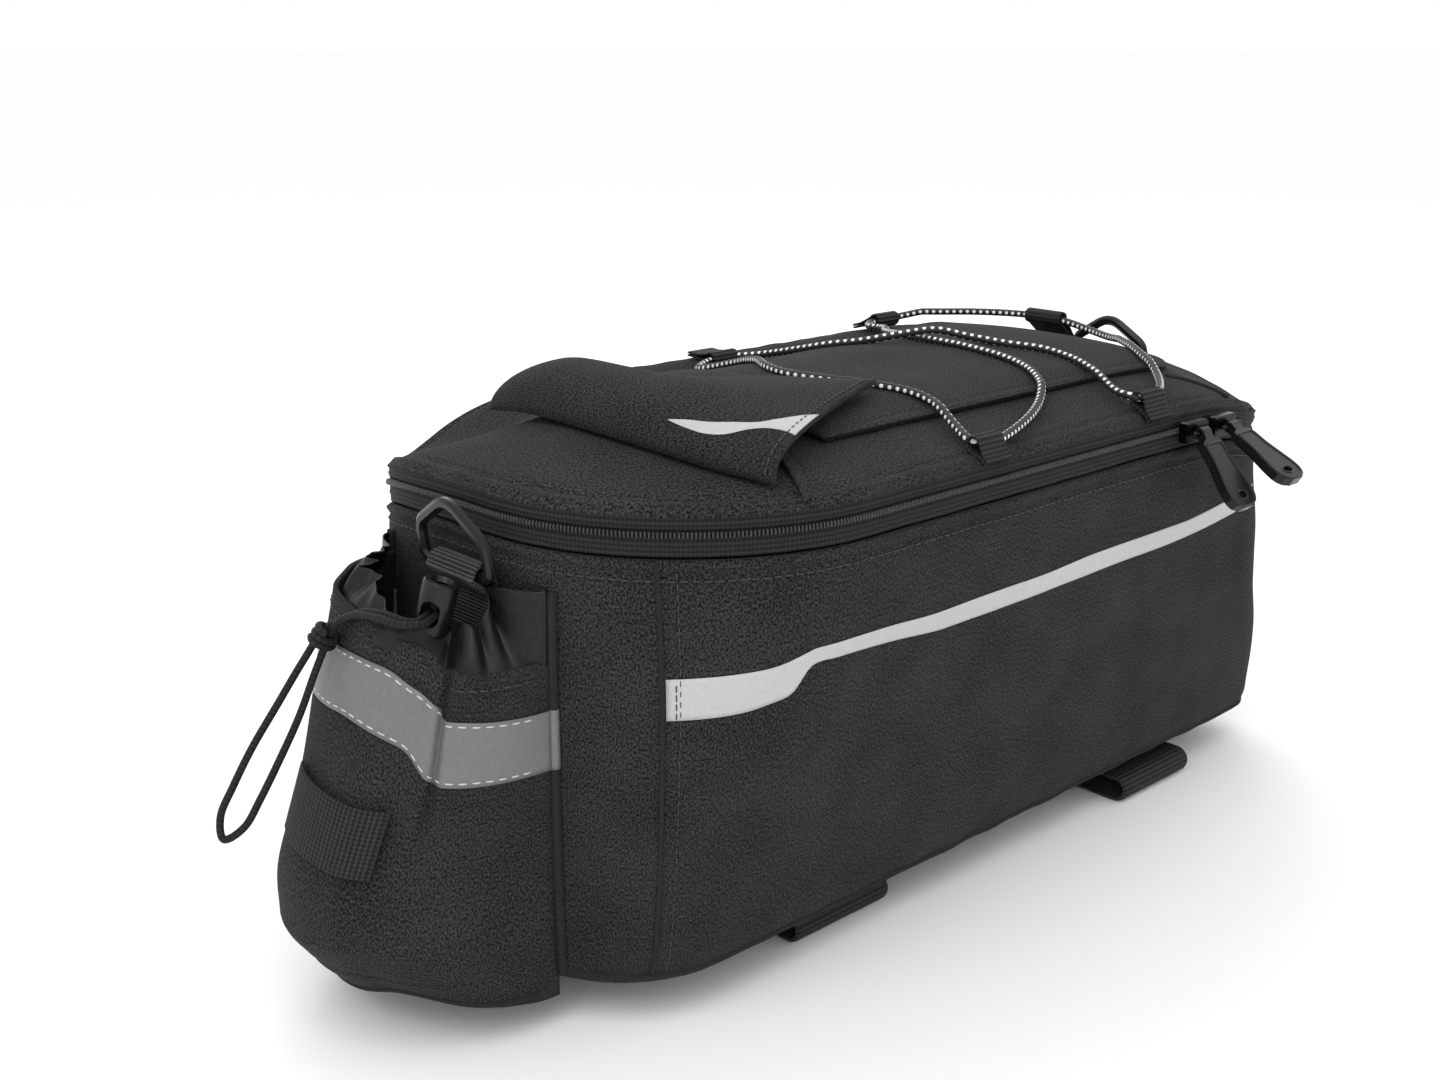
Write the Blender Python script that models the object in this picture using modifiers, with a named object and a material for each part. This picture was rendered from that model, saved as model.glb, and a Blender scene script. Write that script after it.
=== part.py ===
"""A bicycle trunk bag: a zipped rack-top bag with a bottle pocket, cord net, rings and base straps.

Metres, +Z up. While it is modelled, X runs from the pocket end's rim (0) to the plain end, Y = 0 is the
middle of the bag and Z = 0 is the base seam. At the end the whole bag is moved so that the middle of its
box stands at the origin, on the floor.
"""

import math

import bmesh
import bpy
from mathutils import Matrix, Vector

# Body
LENGTH = 0.357
RIM_WIDTH = 0.209
BASE_WIDTH = 0.153
ZIP_HEIGHT = 0.1575
NEAR_RIM_RADIUS = 0.0885
NEAR_BASE_RADIUS = 0.049
FAR_RIM_RADIUS = 0.047
FAR_BASE_RADIUS = 0.022
FAR_LEAN = 0.0415
BELLY = 0.0035
BASE_SAG = 0.005
WALL = 0.003
GAP = 0.0004
RIM_GAP = 0.0007

# Zip and lid
TAPE_BELOW_ZIP = 0.0072
TAPE_ABOVE_ZIP = 0.0056
TAPE_THICKNESS = 0.0012
TAPE_INSET = 0.0006
COIL_RADIUS = 0.0012
LID_CROWN = 0.014
BODY_TOP = ZIP_HEIGHT - TAPE_BELOW_ZIP - RIM_GAP
LID_BASE = ZIP_HEIGHT + TAPE_ABOVE_ZIP + GAP

# Top pocket panel and flap
PANEL_START = 0.100
PANEL_END = 0.318
PANEL_HALF_WIDTH = 0.072
PANEL_THICKNESS = 0.0026
PANEL_CORNER = 0.020
FLAP_THICKNESS = 0.0022
FLAP_HEIGHT = 0.016
FLAP_CLEARANCE = 3.5 * GAP
PANEL_CLEARANCE = 2.5 * GAP

# Cord net on the lid
NET_CORD_RADIUS = 0.0016
NET_LOOP_WIDTH = 0.015
NET_LOOP_FOOT = 0.0024
LOOP_CLEARANCE = 0.0012
NET_LOOP_WALL = 0.0011
CORD_CLEARANCE = 0.0007

# Rings and their tabs
RING_WIDTH = 0.0410
RING_HEIGHT = 0.0243
RING_CORNER = 0.0030
RING_ROD_RADIUS = 0.0022
RING_TAB_WIDTH = 0.0265
RING_TAB_LENGTH = 0.022
RING_TAB_SHEET = 0.0014
RING_TAB_SEAM = 0.0045
RING_CLEARANCE = 0.00050
NEAR_STANDOFF = 0.0068
NEAR_BAR_Y = -0.0110
NEAR_BAR_DROP = 0.0189
NEAR_TAB_OFFSET = -0.0015
NEAR_RING_LEAN_DEG = -7.7
FAR_STANDOFF = 0.0047
FAR_BAR_OUT = 0.0042
FAR_BAR_Y = -0.0060
FAR_BAR_DROP = 0.0015
FAR_RING_LEAN_DEG = -5.0
FAR_TAB_LEAN_DEG = 13.5

# Zip sliders and pulls
SLIDER_LENGTH = 0.0150
SLIDER_HEIGHT = 0.0085
SLIDER_DEPTH = 0.0032
BRIDGE_RADIUS = 0.0009
BRIDGE_REACH = 0.0036
BRIDGE_SPAN = 0.0086
PULL_LENGTH = 0.0335
PULL_NECK_WIDTH = 0.0054
PULL_WAIST_WIDTH = 0.0120
PULL_TIP_WIDTH = 0.0165
PULL_THICKNESS = 0.0034
PIN_CLEARANCE = 0.00035

# Zip sliders: x, and how far each pull leans out, in degrees.
SLIDER_PLACES = {
    "1": (0.2680, 39.0),
    "2": (0.2890, 60.0),
}

# Bottle pocket on the near end
POCKET_HALF_WIDTH = 0.0455
POCKET_DEPTH = 0.0690
POCKET_HEM_HEIGHT = 0.1140
POCKET_WALL = 0.0020
COLLAR_WALL = 0.0010
COLLAR_TOP_HEIGHT = 0.1400
COLLAR_OVERLAP = 0.0057
COLLAR_CLEARANCE = 0.0008
COLLAR_TAPER = 0.0048
COLLAR_RUFFLE = 0.0016
COLLAR_RUFFLES = 11
LIGHT_TAB_HEIGHT = 0.0225
LIGHT_TAB_LOW = 0.0535
LIGHT_TAB_THICKNESS = 0.0016
LIGHT_TAB_STAND = 0.0028
LIGHT_TAB_PLACE = 0.46
LIGHT_TAB_SPREAD = 0.145

# Cord lock and draw cord
LOCK_RADIUS = 0.0062
LOCK_LENGTH = 0.0178
LOCK_BORE_RADIUS = 0.0047
BUTTON_RADIUS = 0.0057
BUTTON_CAP_HEIGHT = 0.0042
BUTTON_TRAVEL = 0.0034
PLUNGER_RADIUS = 0.0043
LOCK_SLOT_PLACE = 0.58
LOCK_SLOT_HEIGHT = 0.0090
PLUNGER_END = 0.0008
DRAW_CORD_RADIUS = 0.00125
LOCK_TOP = Vector((-0.0178, -0.0186, 0.1385))
LOCK_AXIS = Vector((-0.0052, 0.0048, -0.0257)).normalized()

# Base straps
STRAP_DROP = 0.0115
STRAP_THICKNESS = 0.0020
STRAP_WIDTH = 0.050

# Base straps: middle's x, and how much wider than the base each loop is.
BASE_STRAPS = {
    "base_strap_near": (0.1200, -0.017),
    "base_strap_far": (LENGTH - 0.0485, 0.010),
}

COLOURS = {
    "fabric": ((0.028, 0.028, 0.030, 1.0), 0.90, 0.0),
    "nylon": ((0.020, 0.020, 0.022, 1.0), 0.45, 0.0),
    "webbing": ((0.014, 0.014, 0.015, 1.0), 0.75, 0.0),
    "plastic": ((0.012, 0.012, 0.013, 1.0), 0.35, 0.0),
    "metal": ((0.020, 0.020, 0.022, 1.0), 0.20, 1.0),
    "cord": ((0.016, 0.016, 0.017, 1.0), 0.70, 0.0),
}

# Level of the body: height share, spread share from base to rim, belly share, share of the far end's lean.
BODY_LEVELS = (
    (0.00, 0.00, 0.0, 1.00),
    (0.07, 0.10, 0.6, 0.97),
    (0.30, 0.34, 1.0, 0.77),
    (0.50, 0.54, 1.0, 0.47),
    (0.70, 0.73, 0.9, 0.29),
    (0.85, 0.88, 0.5, 0.14),
    (1.00, 1.00, 0.0, 0.00),
)

# Level of the lid: inset share of half the rim's width, rise share of the crown.
LID_LEVELS = (
    (0.00, 0.00),
    (0.03, 0.18),
    (0.10, 0.36),
    (0.16, 0.46),
    (0.22, 0.55),
    (0.31, 0.67),
    (0.40, 0.78),
    (0.51, 0.86),
    (0.62, 0.93),
    (0.73, 0.97),
    (0.85, 1.00),
    (0.97, 1.00),
)

# Droop of the soft rim at two of its corners: x share of the length, y share of half the width, reach, drop.
CORNER_DROOPS = (
    (0.106, 0.804, 0.044, 0.014),
    (0.975, -0.842, 0.038, 0.012),
)
DROOP_START = 0.5
DROOP_POWER = 1.5

# Sag of the lid's far half: share of the length, share of the sag.
LID_SAG = 0.011
SAG_RIM = 0.0035
SAG_FADE = 0.026
SAG_LEVELS = (
    (0.00, 0.00),
    (0.15, 0.50),
    (0.40, 1.00),
    (0.60, 0.80),
    (0.75, 0.60),
    (0.95, 0.15),
    (1.00, 0.00),
)

# Level of the bottle pocket: height share of the hem, depth share, crease share.
POCKET_LEVELS = (
    (1.00, 0.60, 1.0),
    (0.88, 0.67, 1.0),
    (0.68, 0.76, 0.9),
    (0.52, 0.86, 0.5),
    (0.34, 0.98, 0.1),
    (0.20, 0.99, 0.0),
    (0.10, 0.89, 0.0),
    (0.02, 0.79, 0.0),
    (-0.04, 0.66, 0.0),
    (-0.055, 0.45, 0.0),
    (-0.055, 0.02, 0.0),
)

# Vertical creases of the pocket: place round the front (0 near side, 1 far side), width, depth share.
POCKET_CREASES = (
    (0.27, 0.075, 0.095),
    (0.80, 0.070, 0.050),
)

# Rise of the pocket's bottom near its near-side front: middle place, width, height, faded out by a level.
BOTTOM_LIFT_PLACE = 0.30
BOTTOM_LIFT_WIDTH = 0.15
BOTTOM_LIFT = 0.0075
BOTTOM_LIFT_FADE = 0.35

# Collar top: place round the front, height share between the hem and the collar's top.
COLLAR_TOP = (
    (0.00, 0.95),
    (0.12, 0.75),
    (0.22, 0.35),
    (0.29, 0.10),
    (0.37, 0.20),
    (0.45, 0.48),
    (0.55, 0.60),
    (0.70, 0.72),
    (1.00, 1.00),
)

# Flap over the top pocket's mouth: station from near side to far side. Front edge and back edge are
# (x share of the length, y share of half the rim's width), crest is a share of the flap's height.
FLAP_STATIONS = (
    # front x, front y, back x, back y, crest
    (0.160, -0.86, 0.415, -0.47, 0.62),
    (0.137, -0.64, 0.385, -0.33, 0.95),
    (0.125, -0.30, 0.365, -0.16, 1.00),
    (0.130, 0.12, 0.350, 0.08, 0.95),
    (0.140, 0.44, 0.355, 0.30, 0.78),
    (0.155, 0.56, 0.360, 0.50, 0.50),
)

# Places of the panel's mesh lines: x, and y as a share of half its width.
PANEL_ROWS = (0.100, 0.125, 0.150, 0.175, 0.200, 0.225, 0.250, 0.271, 0.283, 0.295, 0.304, 0.310, 0.3145, 0.3172)
PANEL_COLUMNS = (-1.0, -0.87, -0.70, -0.55, -0.38, -0.22, 0.0, 0.22, 0.38, 0.55, 0.70, 0.87, 1.0)

# Cord net: a closed loop of cord over the lid, chosen by hand. x, y, and the height above its support.
NET_ROUTE = (
    (0.1410, -0.1000, 0.0060),
    (0.1500, -0.1000, 0.0060),
    (0.1590, -0.1000, 0.0060),
    (0.1720, -0.0960, 0.0025),
    (0.1870, -0.0900, 0.0004),
    (0.2030, -0.0830, 0.0004),
    (0.2180, -0.0720, 0.0004),
    (0.2300, -0.0560, 0.0004),
    (0.2380, -0.0360, 0.0004),
    (0.2400, -0.0150, 0.0004),
    (0.2420, 0.0080, 0.0004),
    (0.2520, 0.0300, 0.0004),
    (0.2700, 0.0500, 0.0004),
    (0.2860, 0.0600, 0.0006),
    (0.2840, 0.0700, 0.0020),
    (0.2770, 0.0770, 0.0040),
    (0.2790, 0.0840, 0.0050),
    (0.2900, 0.0850, 0.0050),
    (0.2990, 0.0850, 0.0050),
    (0.3080, 0.0850, 0.0050),
    (0.3210, 0.0770, 0.0050),
    (0.3350, 0.0620, 0.0050),
    (0.3430, 0.0480, 0.0050),
    (0.3460, 0.0360, 0.0050),
    (0.3460, 0.0255, 0.0050),
    (0.3460, 0.0160, 0.0050),
    (0.3410, -0.0060, 0.0030),
    (0.3300, -0.0280, 0.0010),
    (0.3150, -0.0490, 0.0006),
    (0.3000, -0.0660, 0.0006),
    (0.2830, -0.0810, 0.0010),
    (0.2680, -0.0930, 0.0040),
    (0.2540, -0.1000, 0.0060),
    (0.2450, -0.1000, 0.0060),
    (0.2360, -0.1000, 0.0060),
    (0.2340, -0.0930, 0.0040),
    (0.2430, -0.0800, 0.0008),
    (0.2540, -0.0640, 0.0004),
    (0.2600, -0.0440, 0.0004),
    (0.2590, -0.0240, 0.0004),
    (0.2510, -0.0080, 0.0026),
    (0.2410, 0.0020, 0.0042),
    (0.2290, 0.0100, 0.0024),
    (0.2170, 0.0200, 0.0004),
    (0.2090, 0.0350, 0.0004),
    (0.2100, 0.0560, 0.0006),
    (0.2130, 0.0720, 0.0030),
    (0.2070, 0.0830, 0.0035),
    (0.1975, 0.0840, 0.0035),
    (0.1880, 0.0840, 0.0035),
    (0.1770, 0.0800, 0.0025),
    (0.1700, 0.0710, 0.0015),
    (0.1720, 0.0600, 0.0008),
    (0.1730, 0.0440, 0.0004),
    (0.1620, 0.0220, 0.0004),
    (0.1480, 0.0030, 0.0004),
    (0.1440, -0.0160, 0.0004),
    (0.1500, -0.0340, 0.0004),
    (0.1570, -0.0520, 0.0004),
    (0.1570, -0.0690, 0.0004),
    (0.1470, -0.0830, 0.0010),
    (0.1370, -0.0930, 0.0040),
)

# Webbing loops that hold the net, each at a point of the cord: x, y and the height above its support.
NET_LOOPS = {
    "net_loop_near_1": (0.1500, -0.1000, 0.0060),
    "net_loop_near_2": (0.2450, -0.1000, 0.0060),
    "net_loop_far_1": (0.1975, 0.0840, 0.0035),
    "net_loop_far_2": (0.2990, 0.0850, 0.0050),
}
END_LOOP = (0.3460, 0.0255, 0.0050)
END_LOOP_WIDTH = 0.020
NEAR_FOOT_OUT = 0.0020
FAR_FOOT_INSET = 0.0060
NET_FOOT_RISE = 0.0014

# Draw cord: one strand of the hanging loop from the lock to the bend, chosen by hand (x, y, z).
DRAW_CORD_ROUTE = (
    (-0.0199, -0.0168, 0.1282),
    (-0.0250, -0.0206, 0.1280),
    (-0.0300, -0.0236, 0.1284),
    (-0.0348, -0.0215, 0.1290),
    (-0.0376, -0.0145, 0.1300),
    (-0.0395, -0.0050, 0.1290),
    (-0.0415, 0.0030, 0.1255),
    (-0.0450, 0.0090, 0.1190),
    (-0.0505, 0.0110, 0.1095),
    (-0.0590, 0.0110, 0.0965),
    (-0.0680, 0.0110, 0.0840),
    (-0.0755, 0.0110, 0.0730),
    (-0.0810, 0.0110, 0.0650),
)
CORD_BEND_DEPTH = 0.0062
STRAND_SPREAD = (0.00145, 0.00145, 0.0016, 0.0018, 0.0018, 0.0018, 0.0018, 0.0016, 0.0026, 0.0040, 0.0048, 0.0048, 0.0042)
KNOT_PLACE = 7
KNOT_RADIUS = 0.0048
KNOT_ROD_RADIUS = 0.0013

CORNER_STEPS = 6
SIDE_STEPS = 6
END_STEPS = 3


# Outline and surface rules


def arc(cx, cy, radius, start_deg, steps):
    """Points of a quarter circle, without its last one."""
    points = []
    for i in range(steps):
        angle = math.radians(start_deg + 90 * i / steps)
        points.append((cx + radius * math.cos(angle), cy + radius * math.sin(angle)))
    return points


def run(start, end, steps):
    """Points of a straight run, without its last one."""
    return [tuple(Vector(start).lerp(Vector(end), i / steps)) for i in range(steps)]


def outline(x0, x1, half, near_radius, far_radius, z):
    """One level of the bag, seen from above: from the near end's middle round by the near side."""
    near_y, far_y = half - near_radius, half - far_radius
    points = run((x0, near_y), (x0, -near_y), END_STEPS)
    points += arc(x0 + near_radius, -near_y, near_radius, 180, CORNER_STEPS)
    points += run((x0 + near_radius, -half), (x1 - far_radius, -half), SIDE_STEPS)
    points += arc(x1 - far_radius, -far_y, far_radius, 270, CORNER_STEPS)
    points += run((x1, -far_y), (x1, far_y), END_STEPS)
    points += arc(x1 - far_radius, far_y, far_radius, 0, CORNER_STEPS)
    points += run((x1 - far_radius, half), (x0 + near_radius, half), SIDE_STEPS)
    points += arc(x0 + near_radius, near_y, near_radius, 90, CORNER_STEPS)
    return [Vector((x, y, z)) for x, y in points]


def mix(low, high, share):
    return low + (high - low) * share


def between(table, place, column=1):
    """The table's column at a place along its first column, straight between rows."""
    for before, after in zip(table, table[1:]):
        if place <= after[0]:
            span = after[0] - before[0]
            return mix(before[column], after[column], (place - before[0]) / span)
    return table[-1][column]


def body_outline(height_share, spread, belly, lean, inset=0.0):
    half = mix(BASE_WIDTH, RIM_WIDTH, spread) / 2 + BELLY * belly - inset
    near_radius = mix(NEAR_BASE_RADIUS, NEAR_RIM_RADIUS, spread) - inset
    far_radius = mix(FAR_BASE_RADIUS, FAR_RIM_RADIUS, spread) - inset
    far_end = LENGTH + FAR_LEAN * lean - inset
    return outline(inset, far_end, half, near_radius, far_radius, height_share * BODY_TOP)


def rim_outline(inset, z):
    """The rim's outline, moved inwards by an inset."""
    near_radius = max(NEAR_RIM_RADIUS - inset, 0.004)
    far_radius = max(FAR_RIM_RADIUS - inset, 0.004)
    return outline(inset, LENGTH - inset, RIM_WIDTH / 2 - inset, near_radius, far_radius, z)


def near_wall_x(y, z):
    """Outer face of the body's near end at a place across it and a height."""
    share = min(max(z / BODY_TOP, 0.0), 1.0)
    spread = between(BODY_LEVELS, share, 1)
    half = mix(BASE_WIDTH, RIM_WIDTH, spread) / 2 + BELLY * between(BODY_LEVELS, share, 2)
    radius = mix(NEAR_BASE_RADIUS, NEAR_RIM_RADIUS, spread)
    beyond = max(abs(y) - (half - radius), 0.0)
    return radius - math.sqrt(max(radius * radius - beyond * beyond, 0.0))


def rim_inset(x, y):
    """How far a point lies inside the rim's outline."""
    half = RIM_WIDTH / 2
    across = abs(y)
    if x < NEAR_RIM_RADIUS and across > half - NEAR_RIM_RADIUS:
        return NEAR_RIM_RADIUS - math.hypot(NEAR_RIM_RADIUS - x, across - half + NEAR_RIM_RADIUS)
    if x > LENGTH - FAR_RIM_RADIUS and across > half - FAR_RIM_RADIUS:
        corner = math.hypot(x - LENGTH + FAR_RIM_RADIUS, across - half + FAR_RIM_RADIUS)
        return FAR_RIM_RADIUS - corner
    return min(x, LENGTH - x, half - across)


def corner_droop(x, y):
    """How far the rim and the lid droop at two soft corners."""
    total = 0.0
    for along, across, reach, drop in CORNER_DROOPS:
        away = (x - along * LENGTH) ** 2 + (y - across * RIM_WIDTH / 2) ** 2
        total += drop * math.exp(-away / reach ** 2)
    return total


def lid_sag(x, y):
    """How far the soft lid has sunk in its far half."""
    across = min(max(y, 0.0) / (RIM_WIDTH / 2), 1.0)
    inside = min(max((rim_inset(x, y) - SAG_RIM) / SAG_FADE, 0.0), 1.0)
    return LID_SAG * between(SAG_LEVELS, x / LENGTH) * math.sin(math.pi * across * across) * inside


def lid_height(x, y):
    """Outer face of the lid above a point."""
    share = max(rim_inset(x, y), 0.0) / (RIM_WIDTH / 2)
    return LID_BASE + LID_CROWN * between(LID_LEVELS, share) - lid_sag(x, y) - corner_droop(x, y)


def panel_half_width(x):
    """Half the top pocket panel's width, with rounded far corners."""
    if x <= PANEL_END - PANEL_CORNER:
        return PANEL_HALF_WIDTH
    past = (x - PANEL_END + PANEL_CORNER) / PANEL_CORNER
    return PANEL_HALF_WIDTH - PANEL_CORNER * (1 - math.sqrt(max(1 - past * past, 0.0)))


def deck_height(x, y, near=0.0035, far=0.0100):
    """Top of what a cord lies on: the lid, or the panel and its edge zone."""
    height = lid_height(x, y)
    outside = max(abs(y) - PANEL_HALF_WIDTH, PANEL_START - x, x - PANEL_END, 0.0)
    share = min(max((far - outside) / (far - near), 0.0), 1.0)
    return height + (2 * GAP + PANEL_THICKNESS) * share


# Mesh tools


def finish_mesh(name, bm, collection, recalc=True):
    if recalc:
        bmesh.ops.recalc_face_normals(bm, faces=bm.faces)
    mesh = bpy.data.meshes.new(name)
    bm.to_mesh(mesh)
    bm.free()
    obj = bpy.data.objects.new(name, mesh)
    collection.objects.link(obj)
    return obj


def solidify(obj, thickness, offset=-1.0):
    modifier = obj.modifiers.new("wall", "SOLIDIFY")
    modifier.thickness = thickness
    modifier.offset = offset
    modifier.use_even_offset = True


def ring_loft(name, rings, collection, close_first=False, close_last=False):
    """A skin through closed rings of the same number of points."""
    bm = bmesh.new()
    levels = [[bm.verts.new(point) for point in ring] for ring in rings]
    for lower, upper in zip(levels, levels[1:]):
        for i, vert in enumerate(lower):
            j = (i + 1) % len(lower)
            bm.faces.new((vert, lower[j], upper[j], upper[i]))
    if close_first:
        bm.faces.new(reversed(levels[0]))
    if close_last:
        bm.faces.new(levels[-1])
    return finish_mesh(name, bm, collection)


def sheet(name, rows, collection, flip=False):
    """An open skin through rows of the same number of points."""
    bm = bmesh.new()
    grid = [[bm.verts.new(point) for point in row] for row in rows]
    for lower, upper in zip(grid, grid[1:]):
        for i in range(len(lower) - 1):
            corners = (lower[i], lower[i + 1], upper[i + 1], upper[i])
            bm.faces.new(tuple(reversed(corners)) if flip else corners)
    return finish_mesh(name, bm, collection, recalc=False)


def smooth_curve(points, steps, closed):
    """Points on a smooth curve through the given ones (Catmull-Rom)."""
    count = len(points)
    result = []
    for i in range(count if closed else count - 1):
        if closed:
            a, b, c, d = (points[(i + k) % count] for k in (-1, 0, 1, 2))
        else:
            a, b, c, d = (points[min(max(i + k, 0), count - 1)] for k in (-1, 0, 1, 2))
        for step in range(steps):
            t = step / steps
            near = (c - a) * t + (2 * a - 5 * b + 4 * c - d) * t * t + (3 * b - a - 3 * c + d) * t ** 3
            result.append(b + near * 0.5)
    if not closed:
        result.append(points[-1])
    return result


def tube(name, points, radius, closed, collection, sides_step=2):
    curve = bpy.data.curves.new(name, "CURVE")
    curve.dimensions = "3D"
    curve.bevel_depth = radius
    curve.bevel_resolution = sides_step
    curve.use_fill_caps = not closed
    spline = curve.splines.new("POLY")
    spline.points.add(len(points) - 1)
    for target, point in zip(spline.points, points):
        target.co = (*point, 1.0)
    spline.use_cyclic_u = closed
    obj = bpy.data.objects.new(name, curve)
    collection.objects.link(obj)
    return obj


def flat_shape(name, loops, depth, collection):
    """A flat outline with its holes, given depth along local Z."""
    curve = bpy.data.curves.new(name, "CURVE")
    curve.dimensions = "2D"
    curve.fill_mode = "BOTH"
    curve.extrude = depth / 2
    for loop in loops:
        spline = curve.splines.new("POLY")
        spline.points.add(len(loop) - 1)
        for target, (x, y) in zip(spline.points, loop):
            target.co = (x, y, 0.0, 1.0)
        spline.use_cyclic_u = True
    obj = bpy.data.objects.new(name, curve)
    collection.objects.link(obj)
    return obj


def made_mesh(obj, collection):
    """A mesh object in place of a curve object, at the same place."""
    bpy.context.view_layer.update()
    graph = bpy.context.evaluated_depsgraph_get()
    mesh = bpy.data.meshes.new_from_object(obj.evaluated_get(graph))
    bm = bmesh.new()
    bm.from_mesh(mesh)
    bmesh.ops.remove_doubles(bm, verts=bm.verts, dist=1e-6)
    bmesh.ops.recalc_face_normals(bm, faces=bm.faces)
    bm.to_mesh(mesh)
    bm.free()
    name = obj.name
    matrix = obj.matrix_world.copy()
    bpy.data.objects.remove(obj)
    mesh.name = name
    result = bpy.data.objects.new(name, mesh)
    result.matrix_world = matrix
    collection.objects.link(result)
    return result


def boolean(obj, other, operation, helpers):
    """Adds a Boolean with a helper, which is kept out of the model."""
    modifier = obj.modifiers.new(operation.lower(), "BOOLEAN")
    modifier.operation = operation
    modifier.solver = "EXACT"
    modifier.object = other
    for collection in list(other.users_collection):
        collection.objects.unlink(other)
    helpers.objects.link(other)
    other.hide_render = True
    other.display_type = "WIRE"


def circle(cx, cy, radius, steps):
    turn = 2 * math.pi / steps
    return [(cx + radius * math.cos(i * turn), cy + radius * math.sin(i * turn)) for i in range(steps)]


def stadium(cx, cy, length, height, steps=6):
    """A long hole or loop lying along local X."""
    radius = height / 2
    reach = length / 2 - radius
    points = []
    for side, start in ((1, -90), (-1, 90)):
        for i in range(steps + 1):
            angle = math.radians(start + 180 * i / steps)
            points.append((cx + side * reach + radius * math.cos(angle), cy + radius * math.sin(angle)))
    return points


# The pieces


def add_body(collection):
    rings = [body_outline(*BODY_LEVELS[0], inset) for inset in (0.019, 0.011, 0.004)]
    for ring, share in zip(rings, (1.0, 0.9, 0.5)):
        for point in ring:
            point.z = -BASE_SAG * share
    for level in BODY_LEVELS:
        ring = body_outline(*level)
        fade = max((level[0] - DROOP_START) / (1 - DROOP_START), 0.0) ** DROOP_POWER
        for point in ring:
            point.z -= corner_droop(point.x, point.y) * fade
        rings.append(ring)
    body = ring_loft("body_shell", rings, collection, close_first=True)
    solidify(body, WALL)
    return body


def add_zip_tape(collection):
    low = ZIP_HEIGHT - TAPE_BELOW_ZIP
    high = ZIP_HEIGHT + TAPE_ABOVE_ZIP
    rings = [rim_outline(TAPE_INSET, z) for z in (low, high)]
    for point in rings[0] + rings[1]:
        point.z -= corner_droop(point.x, point.y)
    tape = ring_loft("zip_tape", rings, collection)
    solidify(tape, TAPE_THICKNESS)
    return tape


def coil_path():
    """The zip's run round three sides, ending short of the far corners."""
    ring = rim_outline(TAPE_INSET - GAP - COIL_RADIUS, ZIP_HEIGHT)
    for point in ring:
        point.z -= corner_droop(point.x, point.y)
    near_side_end = END_STEPS + CORNER_STEPS + SIDE_STEPS
    far_side_start = near_side_end + 2 * CORNER_STEPS + END_STEPS
    return ring[far_side_start:] + ring[:near_side_end + 1]


def add_zip_coil(collection):
    return tube("zip_coil", coil_path(), COIL_RADIUS, False, collection)


def add_lid(collection):
    outer = [(inset * RIM_WIDTH / 2, rise * LID_CROWN) for inset, rise in LID_LEVELS]
    inner = [(WALL, 0.0)] + [(inset + WALL / 3, rise - WALL) for inset, rise in outer[2:]]
    rings = [rim_outline(inset, LID_BASE + rise) for inset, rise in inner[::-1] + outer]
    for point in [point for ring in rings for point in ring]:
        point.z -= lid_sag(point.x, point.y) + corner_droop(point.x, point.y)
    return ring_loft("lid_shell", rings, collection, close_first=True, close_last=True)


def add_top_pocket(collection):
    """The padded pocket panel that lies on the lid's crown."""
    rows = []
    for x in PANEL_ROWS:
        half = panel_half_width(x)
        rows.append([Vector((x, half * y, lid_height(x, half * y) + PANEL_CLEARANCE)) for y in PANEL_COLUMNS])
    panel = sheet("top_pocket", rows, collection, flip=True)
    solidify(panel, PANEL_THICKNESS, 1.0)
    return panel


def flap_support(x, y):
    """What the stiff flap is held up by: the panel, and the lid as it is before its corner droops."""
    height = lid_height(x, y) + corner_droop(x, y)
    if x > PANEL_START - 0.006 and abs(y) < PANEL_HALF_WIDTH + 0.004:
        height += 2 * GAP + PANEL_THICKNESS
    return height


def flap_row(front_x, front_y, back_x, back_y, crest, steps):
    """One station of the flap: up from its front edge, over, and back down on to the panel."""
    front = Vector((front_x * LENGTH, front_y * RIM_WIDTH / 2))
    back = Vector((back_x * LENGTH, back_y * RIM_WIDTH / 2))
    foot = front.lerp(back, min(1.5 * FLAP_THICKNESS / (back - front).length, 1.0))
    front_z = max(flap_support(*front), flap_support(*foot)) + FLAP_CLEARANCE
    back_z = flap_support(*back) + 3 * GAP + FLAP_THICKNESS
    row = []
    for i in range(steps + 1):
        share = i / steps
        along = share ** 1.7
        place = front.lerp(back, along)
        arch = math.sin(math.pi * share ** 0.80) ** 0.8 if 0 < i < steps else 0.0
        rise = mix(front_z, back_z, along) + FLAP_HEIGHT * crest * arch
        row.append(Vector((*place, rise)))
    return row


def flap_tip_lift(row, lift):
    """Raises a station's back end over the net's cord."""
    count = len(row) - 1
    for i, point in enumerate(row):
        point.z += lift * (i / count) ** 3


def add_flap(collection):
    rows = []
    per_span = 3
    for before, after in zip(FLAP_STATIONS, FLAP_STATIONS[1:]):
        for k in range(per_span):
            mixed = [mix(a, b, k / per_span) for a, b in zip(before, after)]
            rows.append(flap_row(*mixed, steps=9))
    rows.append(flap_row(*FLAP_STATIONS[-1], steps=9))
    clearance = 2 * NET_CORD_RADIUS + CORD_CLEARANCE
    for i, row in enumerate(rows):
        flap_tip_lift(row, clearance * max(1 - i / (2 * per_span), 0.0))
    flap = sheet("top_flap", rows, collection)
    solidify(flap, FLAP_THICKNESS)
    return flap


def add_net(collection):
    plan = smooth_curve([Vector(point) for point in NET_ROUTE], 2, True)
    points = [net_point(x, y, above) for x, y, above in plan]
    return tube("net_cord", points, NET_CORD_RADIUS, True, collection)


def net_point(x, y, above):
    """A point of the net's cord, above the lid or panel under it."""
    return Vector((x, y, deck_height(x, y) + NET_CORD_RADIUS + CORD_CLEARANCE + above))


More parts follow.
